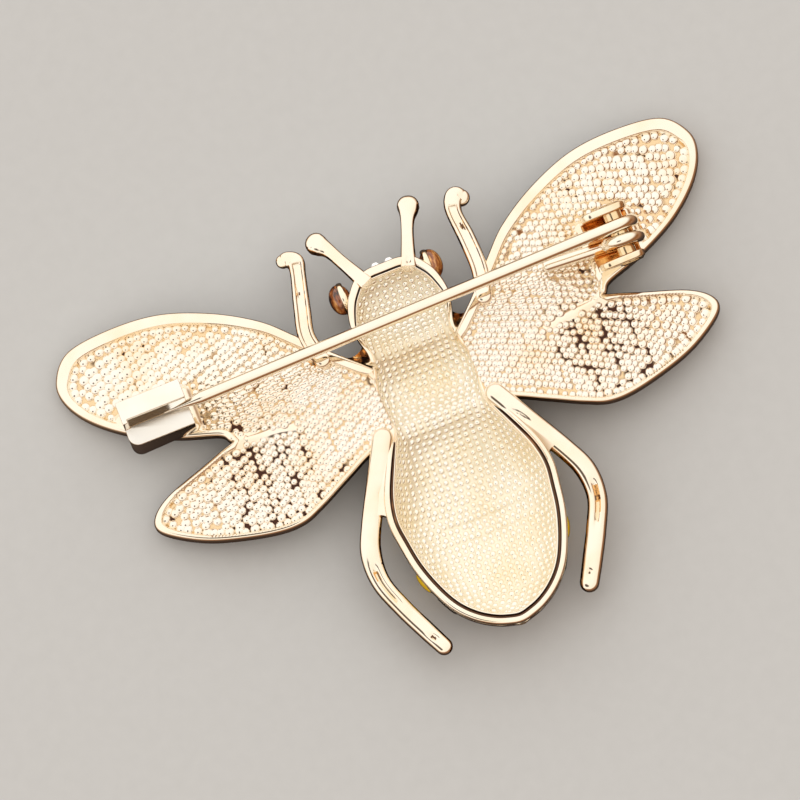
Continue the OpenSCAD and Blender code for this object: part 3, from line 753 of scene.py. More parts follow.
def wing_plate(side):
    net = [Vector(p) for p in wing_net(side)]
    points, _, faces = delaunay_2d_cdt(net, [], [list(range(len(edge)))], 1, 1e-6)[:3]
    p, faces = np.array([tuple(v) for v in points]), [tuple(f) for f in faces]
    top, under, _ = wing_heights(p, side)
    pairs = {(f[k], f[(k + 1) % 3]): None for f in faces for k in range(3)}
    n = len(p)
    walls = [(a, a + n, b + n, b) for a, b in pairs if (b, a) not in pairs]
    verts = np.concatenate([np.column_stack([p * [side, 1], z]) for z in (top, under)])
    return verts, faces + [tuple(i + n for i in f[::-1]) for f in faces] + walls


(right_points, right_faces), (left_points, left_faces) = wing_plate(1), wing_plate(-1)
wings = new_piece("casting_wings", np.concatenate([right_points, left_points]),
                  right_faces + [tuple(i + len(right_points) for i in f) for f in left_faces],
                  polished_gold, floor_shade_gold)
print("wings before the cut:", triangles(wings), "triangles")

# %% [markdown]
# The wings run into the body's wall, so a copy of the bowl, widened by half the wall, is cut
# out of them. A boolean leaves a clean edge that the rim hides.

# %% Cut the wings to the bowl
def cut_with(obj, tool):
    modifier = obj.modifiers.new("cut", "BOOLEAN")
    modifier.operation, modifier.object, modifier.solver = "DIFFERENCE", tool, "MANIFOLD"
    bake(obj)
    tidy(obj.data)
    bpy.data.objects.remove(tool)


cut_rings, above = [], 7
for u in stations[(stations > BOWL_FROM - 0.01) & (stations < BOWL_TO)]:
    wide = bowl_w(u) * 0.5 + half_w(u) * 0.5
    ring = section(u, np.linspace(0, np.pi, 40), wide, rim_z(u), crest_z(u) + WALL / 2)
    sides = [[body_x(u) - wide, body_y(u), above], [body_x(u) + wide, body_y(u), above]]
    cut_rings.append(np.concatenate([ring, sides]))
cut_with(wings, new_piece("bowl_cutter", *skin_through(cut_rings), polished_gold))
# The floor faces between the pebbles get the darker gold of painted shade.
give_finish(wings, 1, lambda face: face.normal.z > 0.5
            and face.center.z / MM < back_z(face.center.x / MM) - RECESS * 0.8)
print("wings after the cut:", triangles(wings), "triangles")

# %% [markdown]
# ## Pebbles
# The back is textured with rows of touching pebbles, small near the body and larger towards
# the wing tips. The script finds where each one sits; a geometry node tree puts a dome there,
# turned to the surface and sized from its own attribute with a small random spread. Real domes
# catch the tent's light as the picture shows; a bump map would stay flat at the crevices.

# %% Geometry nodes: a field of pebbles
def named(tree, name, kind="FLOAT"):
    return node(tree, "GeometryNodeInputNamedAttribute", {"data_type": kind},
                Name=name).outputs["Attribute"]


def end_tree(tree, geometry, into, out, label):
    """Both trees end alike: real geometry, shaded smooth, with the finish that was put in."""
    real = node(tree, "GeometryNodeRealizeInstances", Geometry=geometry)
    smooth = node(tree, "GeometryNodeSetShadeSmooth", Geometry=real.outputs["Geometry"])
    finished = node(tree, "GeometryNodeSetMaterial", Geometry=smooth.outputs["Geometry"],
                    Material=into.outputs["Finish"])
    tree.links.new(finished.outputs["Geometry"], out.inputs[label])


pebbles, into, out = new_group(
    "pebble_field", "GeometryNodeTree",
    [("Places", "NodeSocketGeometry", None), ("Squash", "NodeSocketFloat", 0.8),
     ("Spread", "NodeSocketFloat", 0.1), ("Seed", "NodeSocketInt", 3),
     ("Finish", "NodeSocketMaterial", None)],
    [("Pebbles", "NodeSocketGeometry")])
dome = node(pebbles, "GeometryNodeMeshUVSphere", Segments=10, Rings=7, Radius=0.5)
squash = node(pebbles, "ShaderNodeCombineXYZ", X=1.0, Y=1.0, Z=into.outputs["Squash"])
dome = node(pebbles, "GeometryNodeTransform", Geometry=dome.outputs["Mesh"], Scale=squash.outputs["Vector"])
size, lean = named(pebbles, "size"), named(pebbles, "lean", "FLOAT_VECTOR")
least, most = (node(pebbles, "ShaderNodeMath", {"operation": kind}, n0=1.0,
                    n1=into.outputs["Spread"]).outputs["Value"] for kind in ("SUBTRACT", "ADD"))
chance = node(pebbles, "FunctionNodeRandomValue", {"data_type": "FLOAT"}, n2=least, n3=most,
              Seed=into.outputs["Seed"])
grown = node(pebbles, "ShaderNodeMath", {"operation": "MULTIPLY"}, n0=size, n1=chance.outputs[1])
turned = node(pebbles, "FunctionNodeAlignRotationToVector", {"axis": "Z"}, Vector=lean)
placed = node(pebbles, "GeometryNodeInstanceOnPoints", Points=into.outputs["Places"],
              Instance=dome.outputs["Geometry"], Rotation=turned.outputs["Rotation"],
              Scale=grown.outputs["Value"])
end_tree(pebbles, placed.outputs["Instances"], into, out, "Pebbles")


def run_tree(name, tree, points, edges, attributes, values):
    """An object whose mesh a tree made from points with attributes, kept as plain mesh."""
    mesh = bpy.data.meshes.new(name)
    mesh.from_pydata((np.asarray(points) * MM).tolist(), edges, [])
    for label, data in attributes.items():
        kind, field = ("FLOAT_VECTOR", "vector") if np.ndim(data) == 2 else ("FLOAT", "value")
        layer = mesh.attributes.new(label, kind, "POINT")
        layer.data.foreach_set(field, np.ravel(data).astype(np.float32))
    obj = bpy.data.objects.new(name, mesh)
    modifier = obj.modifiers.new("tree", "NODES")
    modifier.node_group = tree
    sockets = {i.name: i.identifier for i in tree.interface.items_tree if i.in_out == "INPUT"}
    for label, value in values.items():
        modifier[sockets[label]] = value
    scene.collection.objects.link(obj)
    bake(obj)
    return obj


print("tree:", pebbles.name, "with", len(pebbles.nodes), "nodes")

# %% [markdown]
# On a real wing one row of pebbles follows the rim, the next ones lie in staggered rows behind
# it, and smaller ones are pressed in wherever there is room. A random scatter would leave holes
# and overlaps. So the rows are laid out first, then shaken a little, and the gaps are filled.

# %% Where a wing's pebbles sit
LEAST_PITCH, PITCH_GROWTH, BODY_LAP, PAD_MARGIN, FOLD_BARE = 0.46, 0.21, 0.15, 0.45, 0.62


def pitch_at(x):
    return LEAST_PITCH + PITCH_GROWTH * np.clip((x - 4) / 20, 0, 1)


def on_floor(p, side, pitches):
    """Places some pitches inside the rim, and off the body, the fold and the pad."""
    gap, nearest = to_edge(p)
    u = share_at(p[:, 1])
    return ((gap > rim_w[nearest] + pitches * pitch_at(p[:, 0])) & inside_edge(p)
            & (p[:, 0] - side * body_x(u) > half_w(u) - BODY_LAP) & (ridge(p) < FOLD_BARE)
            & (pad_gap(p, side) > PAD_MARGIN))


def rim_row():
    row = []
    for point in edge + edge_inward * (rim_w + 0.36 * pitch_at(edge[:, 0]))[:, None]:
        if not row or np.linalg.norm(point - row[-1]) > 0.97 * pitch_at(point[0]):
            row.append(point)
    return np.array(row)


def inner_rows():
    rows, x = [], 2.6
    while x < 26:
        pitch = pitch_at(x)
        y = np.arange(-4.2, 16.6, pitch) + (pitch / 2 if len(rows) % 2 else 0)
        rows.append(np.column_stack([np.full(len(y), x), y]))
        x += 0.87 * pitch
    p = np.concatenate(rows)
    gap, nearest = to_edge(p)
    return p[gap > rim_w[nearest] + 1.12 * pitch_at(p[:, 0])]


def fill_gaps(p, pitch, side):
    """Add a smaller pebble wherever the rows leave room for one."""
    grid = grid_points(2.5, 26, -3.6, 16.2, 0.13)
    grid = grid[on_floor(grid, side, 0.3)]
    room = 0.8 * pitch_at(grid[:, 0])
    nearest = np.min(np.linalg.norm(grid[:, None] - p[None], axis=2), axis=1)
    while np.any(nearest > room):
        k = int(np.argmax(nearest / room))
        p = np.vstack([p, grid[k]])
        nearest = np.minimum(nearest, np.linalg.norm(grid - grid[k], axis=1))
    return p, np.concatenate([pitch, 0.85 * pitch_at(p[len(pitch):, 0])])


print("places along the rim:", len(rim_row()), "behind it:", len(inner_rows()))

# %% Pebbles on the wings
def wing_places(side, seed):
    """Places, sizes and leans. The casting metal flooded the pebbles near the pads."""
    p = np.concatenate([rim_row(), inner_rows()])
    p += np.random.default_rng(seed).normal(0, 0.085, p.shape) * pitch_at(p[:, 0])[:, None]
    sway = np.column_stack([np.sin(1.9 * p[:, 1] + side) + np.sin(3.1 * p[:, 0]),
                            np.sin(1.7 * p[:, 0] + 2.3 * p[:, 1])])
    p += 0.07 * sway * step_up(5, 12, p[:, 0])[:, None]
    p = p[on_floor(p, side, 0.2)]
    p, pitch = fill_gaps(p, pitch_at(p[:, 0]), side)
    d = 0.01
    tilt = (back_z(p[:, 0] + d) - back_z(p[:, 0] - d)) / (2 * d)
    lean = np.column_stack([-tilt * side, np.zeros(len(p)), np.ones(len(p))])
    unflooded = step_up(0.3, 1.5, pad_gap(p, side))
    loose = 1 - step_up(1.5, 4.8, np.hypot(p[:, 0] - DEEPEST[0], p[:, 1] - DEEPEST[1]))
    size = pitch * (0.64 + 0.68 * unflooded) * (1 - 0.14 * loose)
    z = back_z(p[:, 0]) - RECESS * wing_heights(p, side)[2] - 0.02
    return np.column_stack([p * [side, 1], z]), size, lean


for side, label in ((1, "right"), (-1, "left")):
    places, size, lean = wing_places(side, 5 + side)
    field = run_tree("pebbles_wing_" + label, pebbles, places, [], {"size": size * MM, "lean": lean},
                     {"Squash": 0.6, "Spread": 0.14, "Seed": 11 + side, "Finish": pebble_gold})
    print(field.name, len(places), "pebbles,", triangles(field), "triangles")

# %% [markdown]
# The bowl's pebbles run in rows across it and are smaller and more even. The rows are spaced by
# the length along the bowl's surface, not along the body, so they stay even on its steep ends.
# Each pebble leans with the surface, whose direction is the cross product of two short steps.

# %% Pebbles in the bowl
ROW_GAP, BOWL_PITCH = 0.47, 0.55
rows = []
fine_u = np.linspace(BOWL_FROM, BOWL_TO, 4000)
spine_run = run_of(bowl_point(fine_u, np.full(4000, np.pi / 2)))
for u in np.interp(np.arange(0.55, spine_run[-1] - 0.3, ROW_GAP), spine_run, fine_u):
    angle = np.linspace(0, np.pi, 241)
    run = run_of(bowl_point(u, angle))
    count = int(run[-1] / BOWL_PITCH)
    at = (np.arange(count) + len(rows) % 2 / 2) * BOWL_PITCH + (run[-1] - count * BOWL_PITCH) / 2
    rows.append(np.column_stack([np.full(len(at), u), np.interp(at, run, angle)]))
ua = np.concatenate(rows)
ua += np.random.default_rng(8).normal(0, 1, ua.shape) * [0.0011, 0.006]
u, angle = ua[:, 0], ua[:, 1]
here, d = bowl_point(u, angle), 1e-4
lean = np.cross(bowl_point(u, angle + d) - bowl_point(u, angle - d),
                bowl_point(u + d, angle) - bowl_point(u - d, angle))
lean /= np.linalg.norm(lean, axis=1)[:, None] + 1e-12
lean *= np.sign(lean[:, 2:3] + 1e-9)
depth = rim_z(u) - here[:, 2]
keep = (depth > 0.7) & (np.minimum(u - BOWL_FROM, BOWL_TO - u) * BODY_LEN > 0.08)
by_depth, by_head = step_up(0.6, 1.5, depth[keep]), 1 - step_up(0.3, 0.5, u[keep])
field = run_tree("pebbles_bowl", pebbles, here[keep] - lean[keep] * 0.06, [],
                 {"size": (0.38 + 0.16 * by_depth + 0.06 * by_head) * MM, "lean": lean[keep]},
                 {"Squash": 0.62, "Spread": 0.12, "Seed": 21, "Finish": bowl_pebble_gold})
print(field.name, int(keep.sum()), "pebbles,", triangles(field), "triangles")

# %% [markdown]
# ## Legs and antennae
# Each limb is a bar that is swept along its own bends, with a flat back. The forelegs have a
# shallow channel along their back, the hind legs a groove on the lower part. A section that
# keeps its flat side up is easier to control when each ring is placed one by one than with a
# curve's bevel.

# %% Sweeping a bar
LIMB_R, LIMB_THICK, ROOT_EASE = 0.66, 0.9, 0.14


def smooth_path(rows):
    rows = np.asarray(rows, float)
    padded = np.vstack([2 * rows[0] - rows[1], rows, 2 * rows[-1] - rows[-2]])
    return np.vstack([curve_through(padded, 12), rows[-1:]])


def bar(name, rows, root, end, groove, flat, squared=False, reach=(0.4, 0.62), stout=1.0):
    """Sweep a bar with a flat back. Its ends are rounded, but a squared root has a short edge."""
    rows = np.array(rows, float)
    rows[:, 1] = root + rows[:, 1] * (end - root)
    path = smooth_path(rows)
    middle, radius = path[:, :3], path[:, 3] * LIMB_R * stout
    ahead = np.gradient(middle, axis=0)
    ahead /= np.linalg.norm(ahead, axis=1)[:, None]
    run = np.linspace(0, 1, len(middle))
    arc = np.linspace(0.15, math.pi / 2, 8)[:-1]
    start = [(0, -ROOT_EASE * math.cos(a), 1 - ROOT_EASE + ROOT_EASE * math.sin(a)) if squared
             else (0, -math.cos(a), math.sin(a)) for a in arc]
    finish = [(len(middle) - 1, math.cos(a), math.sin(a)) for a in arc[::-1]]
    across, high = np.cos(full_turn(48)), np.sin(full_turn(48))
    rings = []
    for i, push, shrink in start + [(i, 0, 1) for i in range(len(middle))] + finish:
        side = np.cross(ahead[i], [0, 0, 1.0])
        side /= np.linalg.norm(side)
        top = np.cross(side, ahead[i])
        wide = np.sign(across) * np.abs(across) ** 0.8 * shrink
        lift = np.where(high > 0, np.abs(high) ** flat * shrink**0.45, high * shrink) * LIMB_THICK
        lift = lift - groove(run[i]) * (1 - step_up(*reach, np.abs(wide))) * (high > 0)
        rings.append(middle[i] + ahead[i] * push * radius[i]
                     + (side[None] * wide[:, None] + top[None] * lift[:, None]) * radius[i])
    return new_piece(name, *skin_through(rings), polished_gold, sharp=60)


print("limbs are about", 2 * LIMB_R, "mm wide")

# %% The limbs' bends
# A row is x, the share of the way from root to end along Y, z, and the thickness.
FOOT_Y, FORELEG_TOP, ANTENNA_TOP = -16.9, 16.5, 17.1
FORELEG_LEFT = [[-6.6, 0, 4, 1.00], [-7.05, 0.24, 3.9, 1.00], [-6.55, 0.5, 3.6, 1.00],
                [-5.87, 0.79, 3.2, 0.92], [-5.72, 0.9, 3, 1.06], [-6.15, 0.95, 2.9, 0.95],
                [-6.55, 0.955, 2.8, 0.8]]
FORELEG_RIGHT = [[6.6, 0, 4, 1.00], [7.1, 0.24, 3.9, 1.00], [7.1, 0.53, 3.6, 1.00],
                 [6.95, 0.76, 3.2, 0.92], [7.1, 0.87, 3, 1.05], [7.5, 0.93, 2.9, 1.1],
                 [7.9, 0.9, 2.8, 0.98]]
HIND_LEFT = [[-4.6, 0, 4.3, 1.10], [-6.2, 0.17, 4, 1.10], [-7.9, 0.35, 3.6, 1.05],
             [-8.7, 0.47, 3.3, 1.10], [-8.75, 0.6, 3, 1.00], [-7.95, 0.74, 2.8, 0.95],
             [-6.95, 0.87, 2.6, 0.95], [-6.15, 0.97, 2.5, 0.90]]
HIND_RIGHT = [[4.6, 0, 4.3, 1.10], [6.2, 0.17, 4, 1.10], [7.95, 0.35, 3.6, 1.05],
              [8.8, 0.47, 3.3, 1.10], [8.8, 0.6, 3, 1.05], [7.85, 0.73, 2.8, 1.05],
              [6.75, 0.85, 2.6, 1.05], [5.85, 0.945, 2.5, 1.00]]
ANTENNA_LEFT = [[-1.28, -0.1, 3.9, 0.95], [-2.4, 0.4, 3.3, 0.75], [-3, 0.66, 3.05, 0.82],
                [-3.45, 0.79, 2.9, 1.15], [-3.67, 0.85, 2.8, 1.28]]
ANTENNA_RIGHT = [[2.13, -0.1, 3.9, 0.95], [2.95, 0.4, 3.3, 0.75], [3.43, 0.66, 3.05, 0.82],
                 [3.75, 0.8, 2.9, 1.15], [3.87, 0.865, 2.8, 1.30]]


def channel(run):
    return 0.34 * step_up(0.02, 0.06, run) * (1 - step_up(0.58, 0.62, run))


def lower_groove(run):
    return 0.3 * step_up(0.46, 0.52, run) * (1 - step_up(0.66, 0.74, run))


def plain(run):
    return 0 * run


limbs = [
    bar("foreleg_left_bar", FORELEG_LEFT, 7.4, FORELEG_TOP, channel, 0.45),
    bar("foreleg_right_bar", FORELEG_RIGHT, 7.4, FORELEG_TOP, channel, 0.45),
    bar("hind_leg_left_bar", HIND_LEFT, -0.1, FOOT_Y, lower_groove, 0.5, reach=(0.08, 0.3),
        stout=1.12),
    bar("hind_leg_right_bar", HIND_RIGHT, -0.1, FOOT_Y, lower_groove, 0.5, reach=(0.08, 0.3),
        stout=1.12),
    bar("antenna_left_bar", ANTENNA_LEFT, 12.2, ANTENNA_TOP, plain, 0.45, squared=True),
    bar("antenna_right_bar", ANTENNA_RIGHT, 12.2, ANTENNA_TOP, plain, 0.45, squared=True)]
print("limbs:", sum(triangles(o) for o in limbs), "triangles")

# %% [markdown]
# One flank of each limb gets a dark, reddish gold, which is painted shade and painted reflection.
# The mould leaves small pits, and their insides get a near-black gold, which is painted shade. A
# pit is pressed into the points that are already there, because a bump would have no dark inside,
# and a boolean cut would have too sharp an edge.

# %% Flanks
# limb, the way its shaded flank faces, and the y below which it is shaded
FLANKS = ((0, -0.93, 0.37, 99), (1, -1.0, 0.19, 99), (2, 0.93, -0.37, -6.4),
          (3, -1.0, 0.0, -6.4), (4, -0.91, -0.39, 99), (5, 0.93, -0.37, 99))
# Each listed flank gets the orange gold of painted reflection and painted shade.
for k, way_x, way_y, below in FLANKS:
    limbs[k].data.materials.append(flank_shade_gold)
    give_finish(limbs[k], 1, lambda face: face.normal.x * way_x + face.normal.y * way_y > 0.62
                and face.center.y < below * MM)
print("rough flanks:", len(FLANKS))

# %% Dents
# limb, x, y, half length, half width, turn and depth
DENTS = ((5, 2.3, 12.15, 0.2, 0.2, 0, 0.3), (1, 7.12, 13.28, 0.42, 0.16, 1.9, 0.22),
         (0, -6.35, 12.9, 0.6, 0.1, 1.5, 0.22), (3, 5.75, -2.55, 0.75, 0.13, -0.95, 0.22),
         (2, -6.3, -4.1, 0.3, 0.2, 1.2, 0.22), (3, 6.1, -15.4, 0.22, 0.16, 1.3, 0.22),
         (2, -6.6, -15.6, 0.4, 0.14, -0.9, 0.22))


def dent(piece, x, y, long, wide, turn, depth):
    along = np.array([math.cos(turn), math.sin(turn)])
    points = np.array([v.co[:] for v in piece.data.vertices]) / MM
    near = points[:, :2] - [x, y]
    far = np.sqrt((near @ along / long) ** 2 + (near @ [-along[1], along[0]] / wide) ** 2)
    facing = np.array([v.normal.z for v in piece.data.vertices]) > 0.3
    points[:, 2] -= depth * np.exp(-far**2) * facing
    piece.data.vertices.foreach_set("co", (points * MM).ravel())
    # The inside of the pit gets the near-black gold of painted shade.
    piece.data.materials.append(groove_shade_gold)
    give_finish(piece, len(piece.data.materials) - 1,
                lambda face: face.normal.z > 0.3 and all(far[k] < 1.15 for k in face.vertices))


for k, *mark in DENTS:
    dent(limbs[k], *mark)
print("dents:", len(DENTS))

# %% [markdown]
# ## Webs
# Where a limb or a wing leaves the body at a sharp angle, the casting is filled with a web, so
# that the metal flows in the mould and the limb doesn't snap off. Each is a small sheet that is
# laid between two lines, with a sheet of the same points below it and walls round both.

# %% A sheet between two lines
def web_between(name, top, thickness, *materials):
    rows, cols = top.shape[:2]
    n = rows * cols
    cells = [(i * cols + j, (i + 1) * cols + j, (i + 1) * cols + j + 1, i * cols + j + 1)
             for i in range(rows - 1) for j in range(cols - 1)]
    border = ([(0, j) for j in range(cols)] + [(i, cols - 1) for i in range(1, rows)]
              + [(rows - 1, j) for j in range(cols - 2, -1, -1)]
              + [(i, 0) for i in range(rows - 2, 0, -1)])
    border = [i * cols + j for i, j in border]
    walls = [(a, b, b + n, a + n) for a, b in zip(border, border[1:] + border[:1])]
    points = np.concatenate([top.reshape(-1, 3), top.reshape(-1, 3) - [0, 0, thickness]])
    faces = cells + [tuple(k + n for k in f[::-1]) for f in cells] + walls
    return new_piece(name, points, faces, *materials, sharp=50)


def on_rim(y, side, share):
    """The point at a share of the wall's width, beside each y."""
    u = share_at(y)
    return np.column_stack([body_x(u) + side * (half_w(u) - wall_w(u) * (1 - share)), y, rim_z(u)])


def side_name(side):
    return "left" if side < 0 else "right"


print("the rim beside y 0 is at", on_rim(np.array([0.0]), 1, 0.5)[0].round(2))

# %% [markdown]
# A hind leg's web hangs between the body's rim and the leg and sags a little in the middle. A
# neck's web fills the corner between thorax and forewing as a small hollow, and the orange at its
# bottom is painted reflection and painted shade. Both could be modelled by hand with a few moved
# points, but then they would not follow when the rim or the leg is changed.

# %% Webs at the hind legs and at the neck
def hind_web(side, rows):
    t, v = np.linspace(0, 1, 30)[:, None, None], np.linspace(0, 1, 16)[None, :, None]
    y = np.linspace(-0.3, -6.6, 30)
    rim_side = on_rim(y, side, 0.52) + [0, 0, 0.05]
    leg = smooth_path(np.array(rows) * [1, FOOT_Y + 0.1, 1, 1] + [0, -0.1, 0, 0])[::-1]
    leg_side = np.column_stack([np.interp(y, leg[:, 1], leg[:, k]) for k in (0, 1, 2)])
    leg_side[:, 2] += 0.8 * LIMB_R * np.interp(y, leg[:, 1], leg[:, 3]) - 0.04
    top = rim_side[:, None] * (1 - v) + leg_side[:, None] * v
    top[..., 2] -= (0.2 * np.sin(math.pi * v) * t)[..., 0]
    top[..., 1] += (1.1 * np.sin(math.pi * v) ** 0.7 * t**3)[..., 0]
    return web_between("web_%s_plate" % side_name(side), top, 0.7, polished_gold)


def neck_web(side):
    a, b = np.linspace(0.02, 1, 24)[:, None], np.linspace(0, 1, 20)[None, :]
    corner, by_body, by_wing = np.array([3.0, 5.0]), np.array([3.72, 7.25]), np.array([5.45, 7.1])
    plan = corner + a[..., None] * ((by_body - corner) * (1 - b[..., None])
                                    + (by_wing - corner) * b[..., None])
    height = 4.02 + 0.45 * b - 1.7 * step_up(0.35, 0.95, a) * np.sin(math.pi * b) ** 0.7
    x, y = side * plan[..., 0] + body_x(share_at(plan[..., 1])), plan[..., 1]
    web = web_between("neck_%s_web" % side_name(side), np.dstack([x, y, height]), 0.8,
                      polished_gold, flank_shade_gold)
    # The web's low faces, at the hollow's bottom, get the orange gold of painted reflection and painted
    # shade.
    give_finish(web, 1, lambda face: face.normal.z > 0.1 and face.center.z < 3.95 * MM)
    return web


webs = [hind_web(-1, HIND_LEFT), hind_web(1, HIND_RIGHT), neck_web(-1), neck_web(1)]
print("webs:", sum(triangles(o) for o in webs), "triangles")

# %% [markdown]
# ## Wire
# The pin, its coil and the tail are spring wire, so one tree draws them all: a path with a
# thickness at each point becomes a round tube with closed ends. Curves are right for wire,
# because its section is the same everywhere but at the point.

# %% Geometry nodes: wire along a path
wire, into, out = new_group(
    "wire_along_path", "GeometryNodeTree",
    [("Path", "NodeSocketGeometry", None), ("Sides", "NodeSocketInt", 32),
     ("Finish", "NodeSocketMaterial", None)],
    [("Wire", "NodeSocketGeometry")])
thick = named(wire, "thick")
line = node(wire, "GeometryNodeMeshToCurve", Mesh=into.outputs["Path"])
ring = node(wire, "GeometryNodeCurvePrimitiveCircle", Resolution=into.outputs["Sides"], Radius=1.0)
tube = node(wire, "GeometryNodeCurveToMesh", Curve=line.outputs["Curve"],
            Profile_Curve=ring.outputs["Curve"], Scale=thick)
tube.inputs["Fill Caps"].default_value = True
end_tree(wire, tube.outputs["Mesh"], into, out, "Wire")
print("tree:", wire.name, "with", len(wire.nodes), "nodes")

# %% [markdown]
# The hinge sits a little askew on the wing: it is turned by less than a degree and canted by
# twelve, so that the point leaves the catch sideways. Rivet, coil and ears are all drawn in the
# hinge's own frame and then placed by one matrix. Their numbers stay simple that way, where
# turning each finished piece would need the same angles four times.

# %% The hinge's own frame
HINGE = Vector((17.9, 7.69, 5.55))
TILT, SWING = math.radians(12), math.radians(0.85)
hinge_frame = Matrix.Translation(HINGE) @ Matrix.Rotation(SWING, 4, "Z") @ Matrix.Rotation(TILT, 4, "X")
WIRE_R, POINT_R, LEAST_R, COIL_R, COIL_PITCH = 0.5, 0.06, 0.02, 1.25, 1.2
POINT_X, TAPER, CATCH_X, SHELF_Z = -19.25, 3.0, -17.35, 5.6
mouth_r = WIRE_R - (WIRE_R - POINT_R) * (TAPER - (CATCH_X - POINT_X)) / TAPER
stem_slope = math.asin((HINGE.z + COIL_R - (SHELF_Z + 0.04 + mouth_r)) / (HINGE.x - CATCH_X))
straight = HINGE.x - POINT_X - TAPER
PIN_SWEEP, TAIL_SWEEP, TAIL_LEN = 260, 275, 6.1
TAIL_TURN, TAIL_DIP = math.radians(-4.5), math.radians(-2)


def in_frame(matrix, points):
    return np.array([tuple(matrix @ Vector(p)) for p in points])


def wire_path(sweep, straight_len, taper_len, flip):
    """The coil from its blunt end, and a straight run from its top (flip 1) or bottom (flip -1)."""
    turn = np.radians(np.arange(sweep, 0, -6.0))
    coil = [(COIL_R * math.sin(a), 0, flip * COIL_R * math.cos(a)) for a in turn]
    start, back = np.array(coil[0]), np.array(coil[0]) - np.array(coil[1])
    back /= np.linalg.norm(back)
    cap = np.linspace(math.pi / 2, 0.12, 7)[:-1]
    blunt = [start + back * WIRE_R * 0.35 * math.sin(a) for a in cap]
    run = [(d, WIRE_R) for d in np.linspace(0, straight_len, 60)]
    if taper_len:
        run += [(straight_len + taper_len * t, WIRE_R - (WIRE_R - POINT_R) * (1.5 * t - 0.5 * t**3))
                for t in np.linspace(0, 1, 22)[1:]]
    else:
        run += [(straight_len + 0.3 * math.sin(a), max(WIRE_R * math.cos(a), LEAST_R))
                for a in np.linspace(0.12, math.pi / 2, 7)]
    sizes = [max(WIRE_R * math.cos(a), LEAST_R) for a in cap] + [WIRE_R] * len(turn)
    return blunt + coil + [(-d, 0, flip * COIL_R) for d, _ in run], sizes + [r for _, r in run]


def make_wire(name, matrix, points, sizes):
    world = in_frame(matrix, points)
    obj = run_tree(name, wire, world, [(i, i + 1) for i in range(len(world) - 1)],
                   {"thick": np.array(sizes) * MM}, {"Sides": 32, "Finish": wire_gold})
    tidy(obj.data, 50)
    return obj


stem_frame = hinge_frame @ Matrix.Translation((0, COIL_PITCH / 2, 0)) @ Matrix.Rotation(-stem_slope, 4, "Y")
pin = make_wire("pin_wire", stem_frame, *wire_path(PIN_SWEEP, straight, TAPER, 1))
tail_frame = (hinge_frame @ Matrix.Translation((0, -COIL_PITCH / 2, 0))
              @ Matrix.Rotation(TAIL_TURN, 4, "Z") @ Matrix.Rotation(TAIL_DIP, 4, "Y"))
tail = make_wire("tail_wire", tail_frame, *wire_path(TAIL_SWEEP, TAIL_LEN, 0, -1))
print("pin:", triangles(pin), "tail:", triangles(tail), "triangles")

# %% [markdown]
# ## Rivet, catch and bracket
# The rivet is turned, so it is a profile spun round its axis. A cylinder with a bevel would be
# quicker, but its heads would be too sharp: a rivet is hammered into a low dome.

# %% Rivet
EAR_SPAN, EAR_T, RIVET_R = 3.94, 0.6, 0.7
RIVET_HEAD = (  # radius, and height over the ear
    (0.004, 0.135), (0.35, 0.13), (0.65, 0.115), (0.8, 0.08), (0.88, 0.04), (0.9, 0.01), (0.88, 0))


def spun(profile, count):
    """Rings round the rivet's axis, from radii and heights on it."""
    return [in_frame(hinge_frame, [(r * math.cos(a), h, r * math.sin(a)) for a in full_turn(count)])
            for r, h in profile]


outside = EAR_SPAN / 2 + EAR_T / 2 + 0.03
profile = [(r, outside + h) for r, h in RIVET_HEAD] + [(RIVET_R, outside), (RIVET_R, 0)]
profile += [(r, -h) for r, h in profile[::-1][1:]]
rivet = new_piece("rivet_turned", *skin_through(spun(profile, 48)), rivet_gold)
print("rivet:", triangles(rivet), "triangles")

# %% [markdown]
# The catch is folded from sheet, and its solid already has the right shape. A copy of it is
# merged and gets small rounded edges, because a sheared edge catches a line of light. Inside
# the fold it gets painted shade: brown at the back and dim under the leaf.

# %% Catch
FOLD_FROM, FOLD_BACK, FOLD_TO, FOLD_END = 6.5, 8.5, 9.2, -22.2


def eased_copy(name, cad_name, material, radius):
    """A copy of a solid with its flat faces merged and its edges rounded."""
    mesh = frame["nodes"][cad_name].data.copy()
    shape = bmesh.new()
    shape.from_mesh(mesh)
    bmesh.ops.remove_doubles(shape, verts=shape.verts, dist=1e-6)
    bmesh.ops.dissolve_limit(shape, angle_limit=math.radians(1), verts=shape.verts, edges=shape.edges)
    shape.to_mesh(mesh)
    shape.free()
    mesh.materials.clear()
    mesh.materials.append(material)
    obj = bpy.data.objects.new(name, mesh)
    scene.collection.objects.link(obj)
    modifier = obj.modifiers.new("edges", "BEVEL")
    modifier.width, modifier.segments, modifier.limit_method = radius * MM, 3, "ANGLE"
    modifier.angle_limit = math.radians(25)
    modifier.use_clamp_overlap = True
    bake(obj)
    obj.data.shade_smooth()
    obj.data.set_sharp_from_angle(angle=math.radians(32))
    return obj


catch = eased_copy("catch_folded", "catch", sheet_gold, 0.09)
for finish in (groove_shade_gold, shade_gold, shelf_gold):
    catch.data.materials.append(finish)
inside = [f.center / MM for f in catch.data.polygons]
leaf_top = max(c.z for c in inside)
# Painted shade inside the fold: the leaf's underside is dimmed, darker deeper in, and the back wall is
# near-black brown.
for face, c in zip(catch.data.polygons, inside):
    if FOLD_FROM < c.y < FOLD_TO and c.x > FOLD_END and SHELF_Z < c.z < leaf_top - 0.2:
        if face.normal.z < -0.5:
            face.material_index = 2
        elif face.normal.y < -0.5 and c.y > FOLD_BACK:
            face.material_index = 1
    elif face.normal.z > 0.9 and abs(c.z - SHELF_Z) < 0.06:
        face.material_index = 3
print("catch:", triangles(catch), "triangles, its top is", round(leaf_top, 2), "mm high")

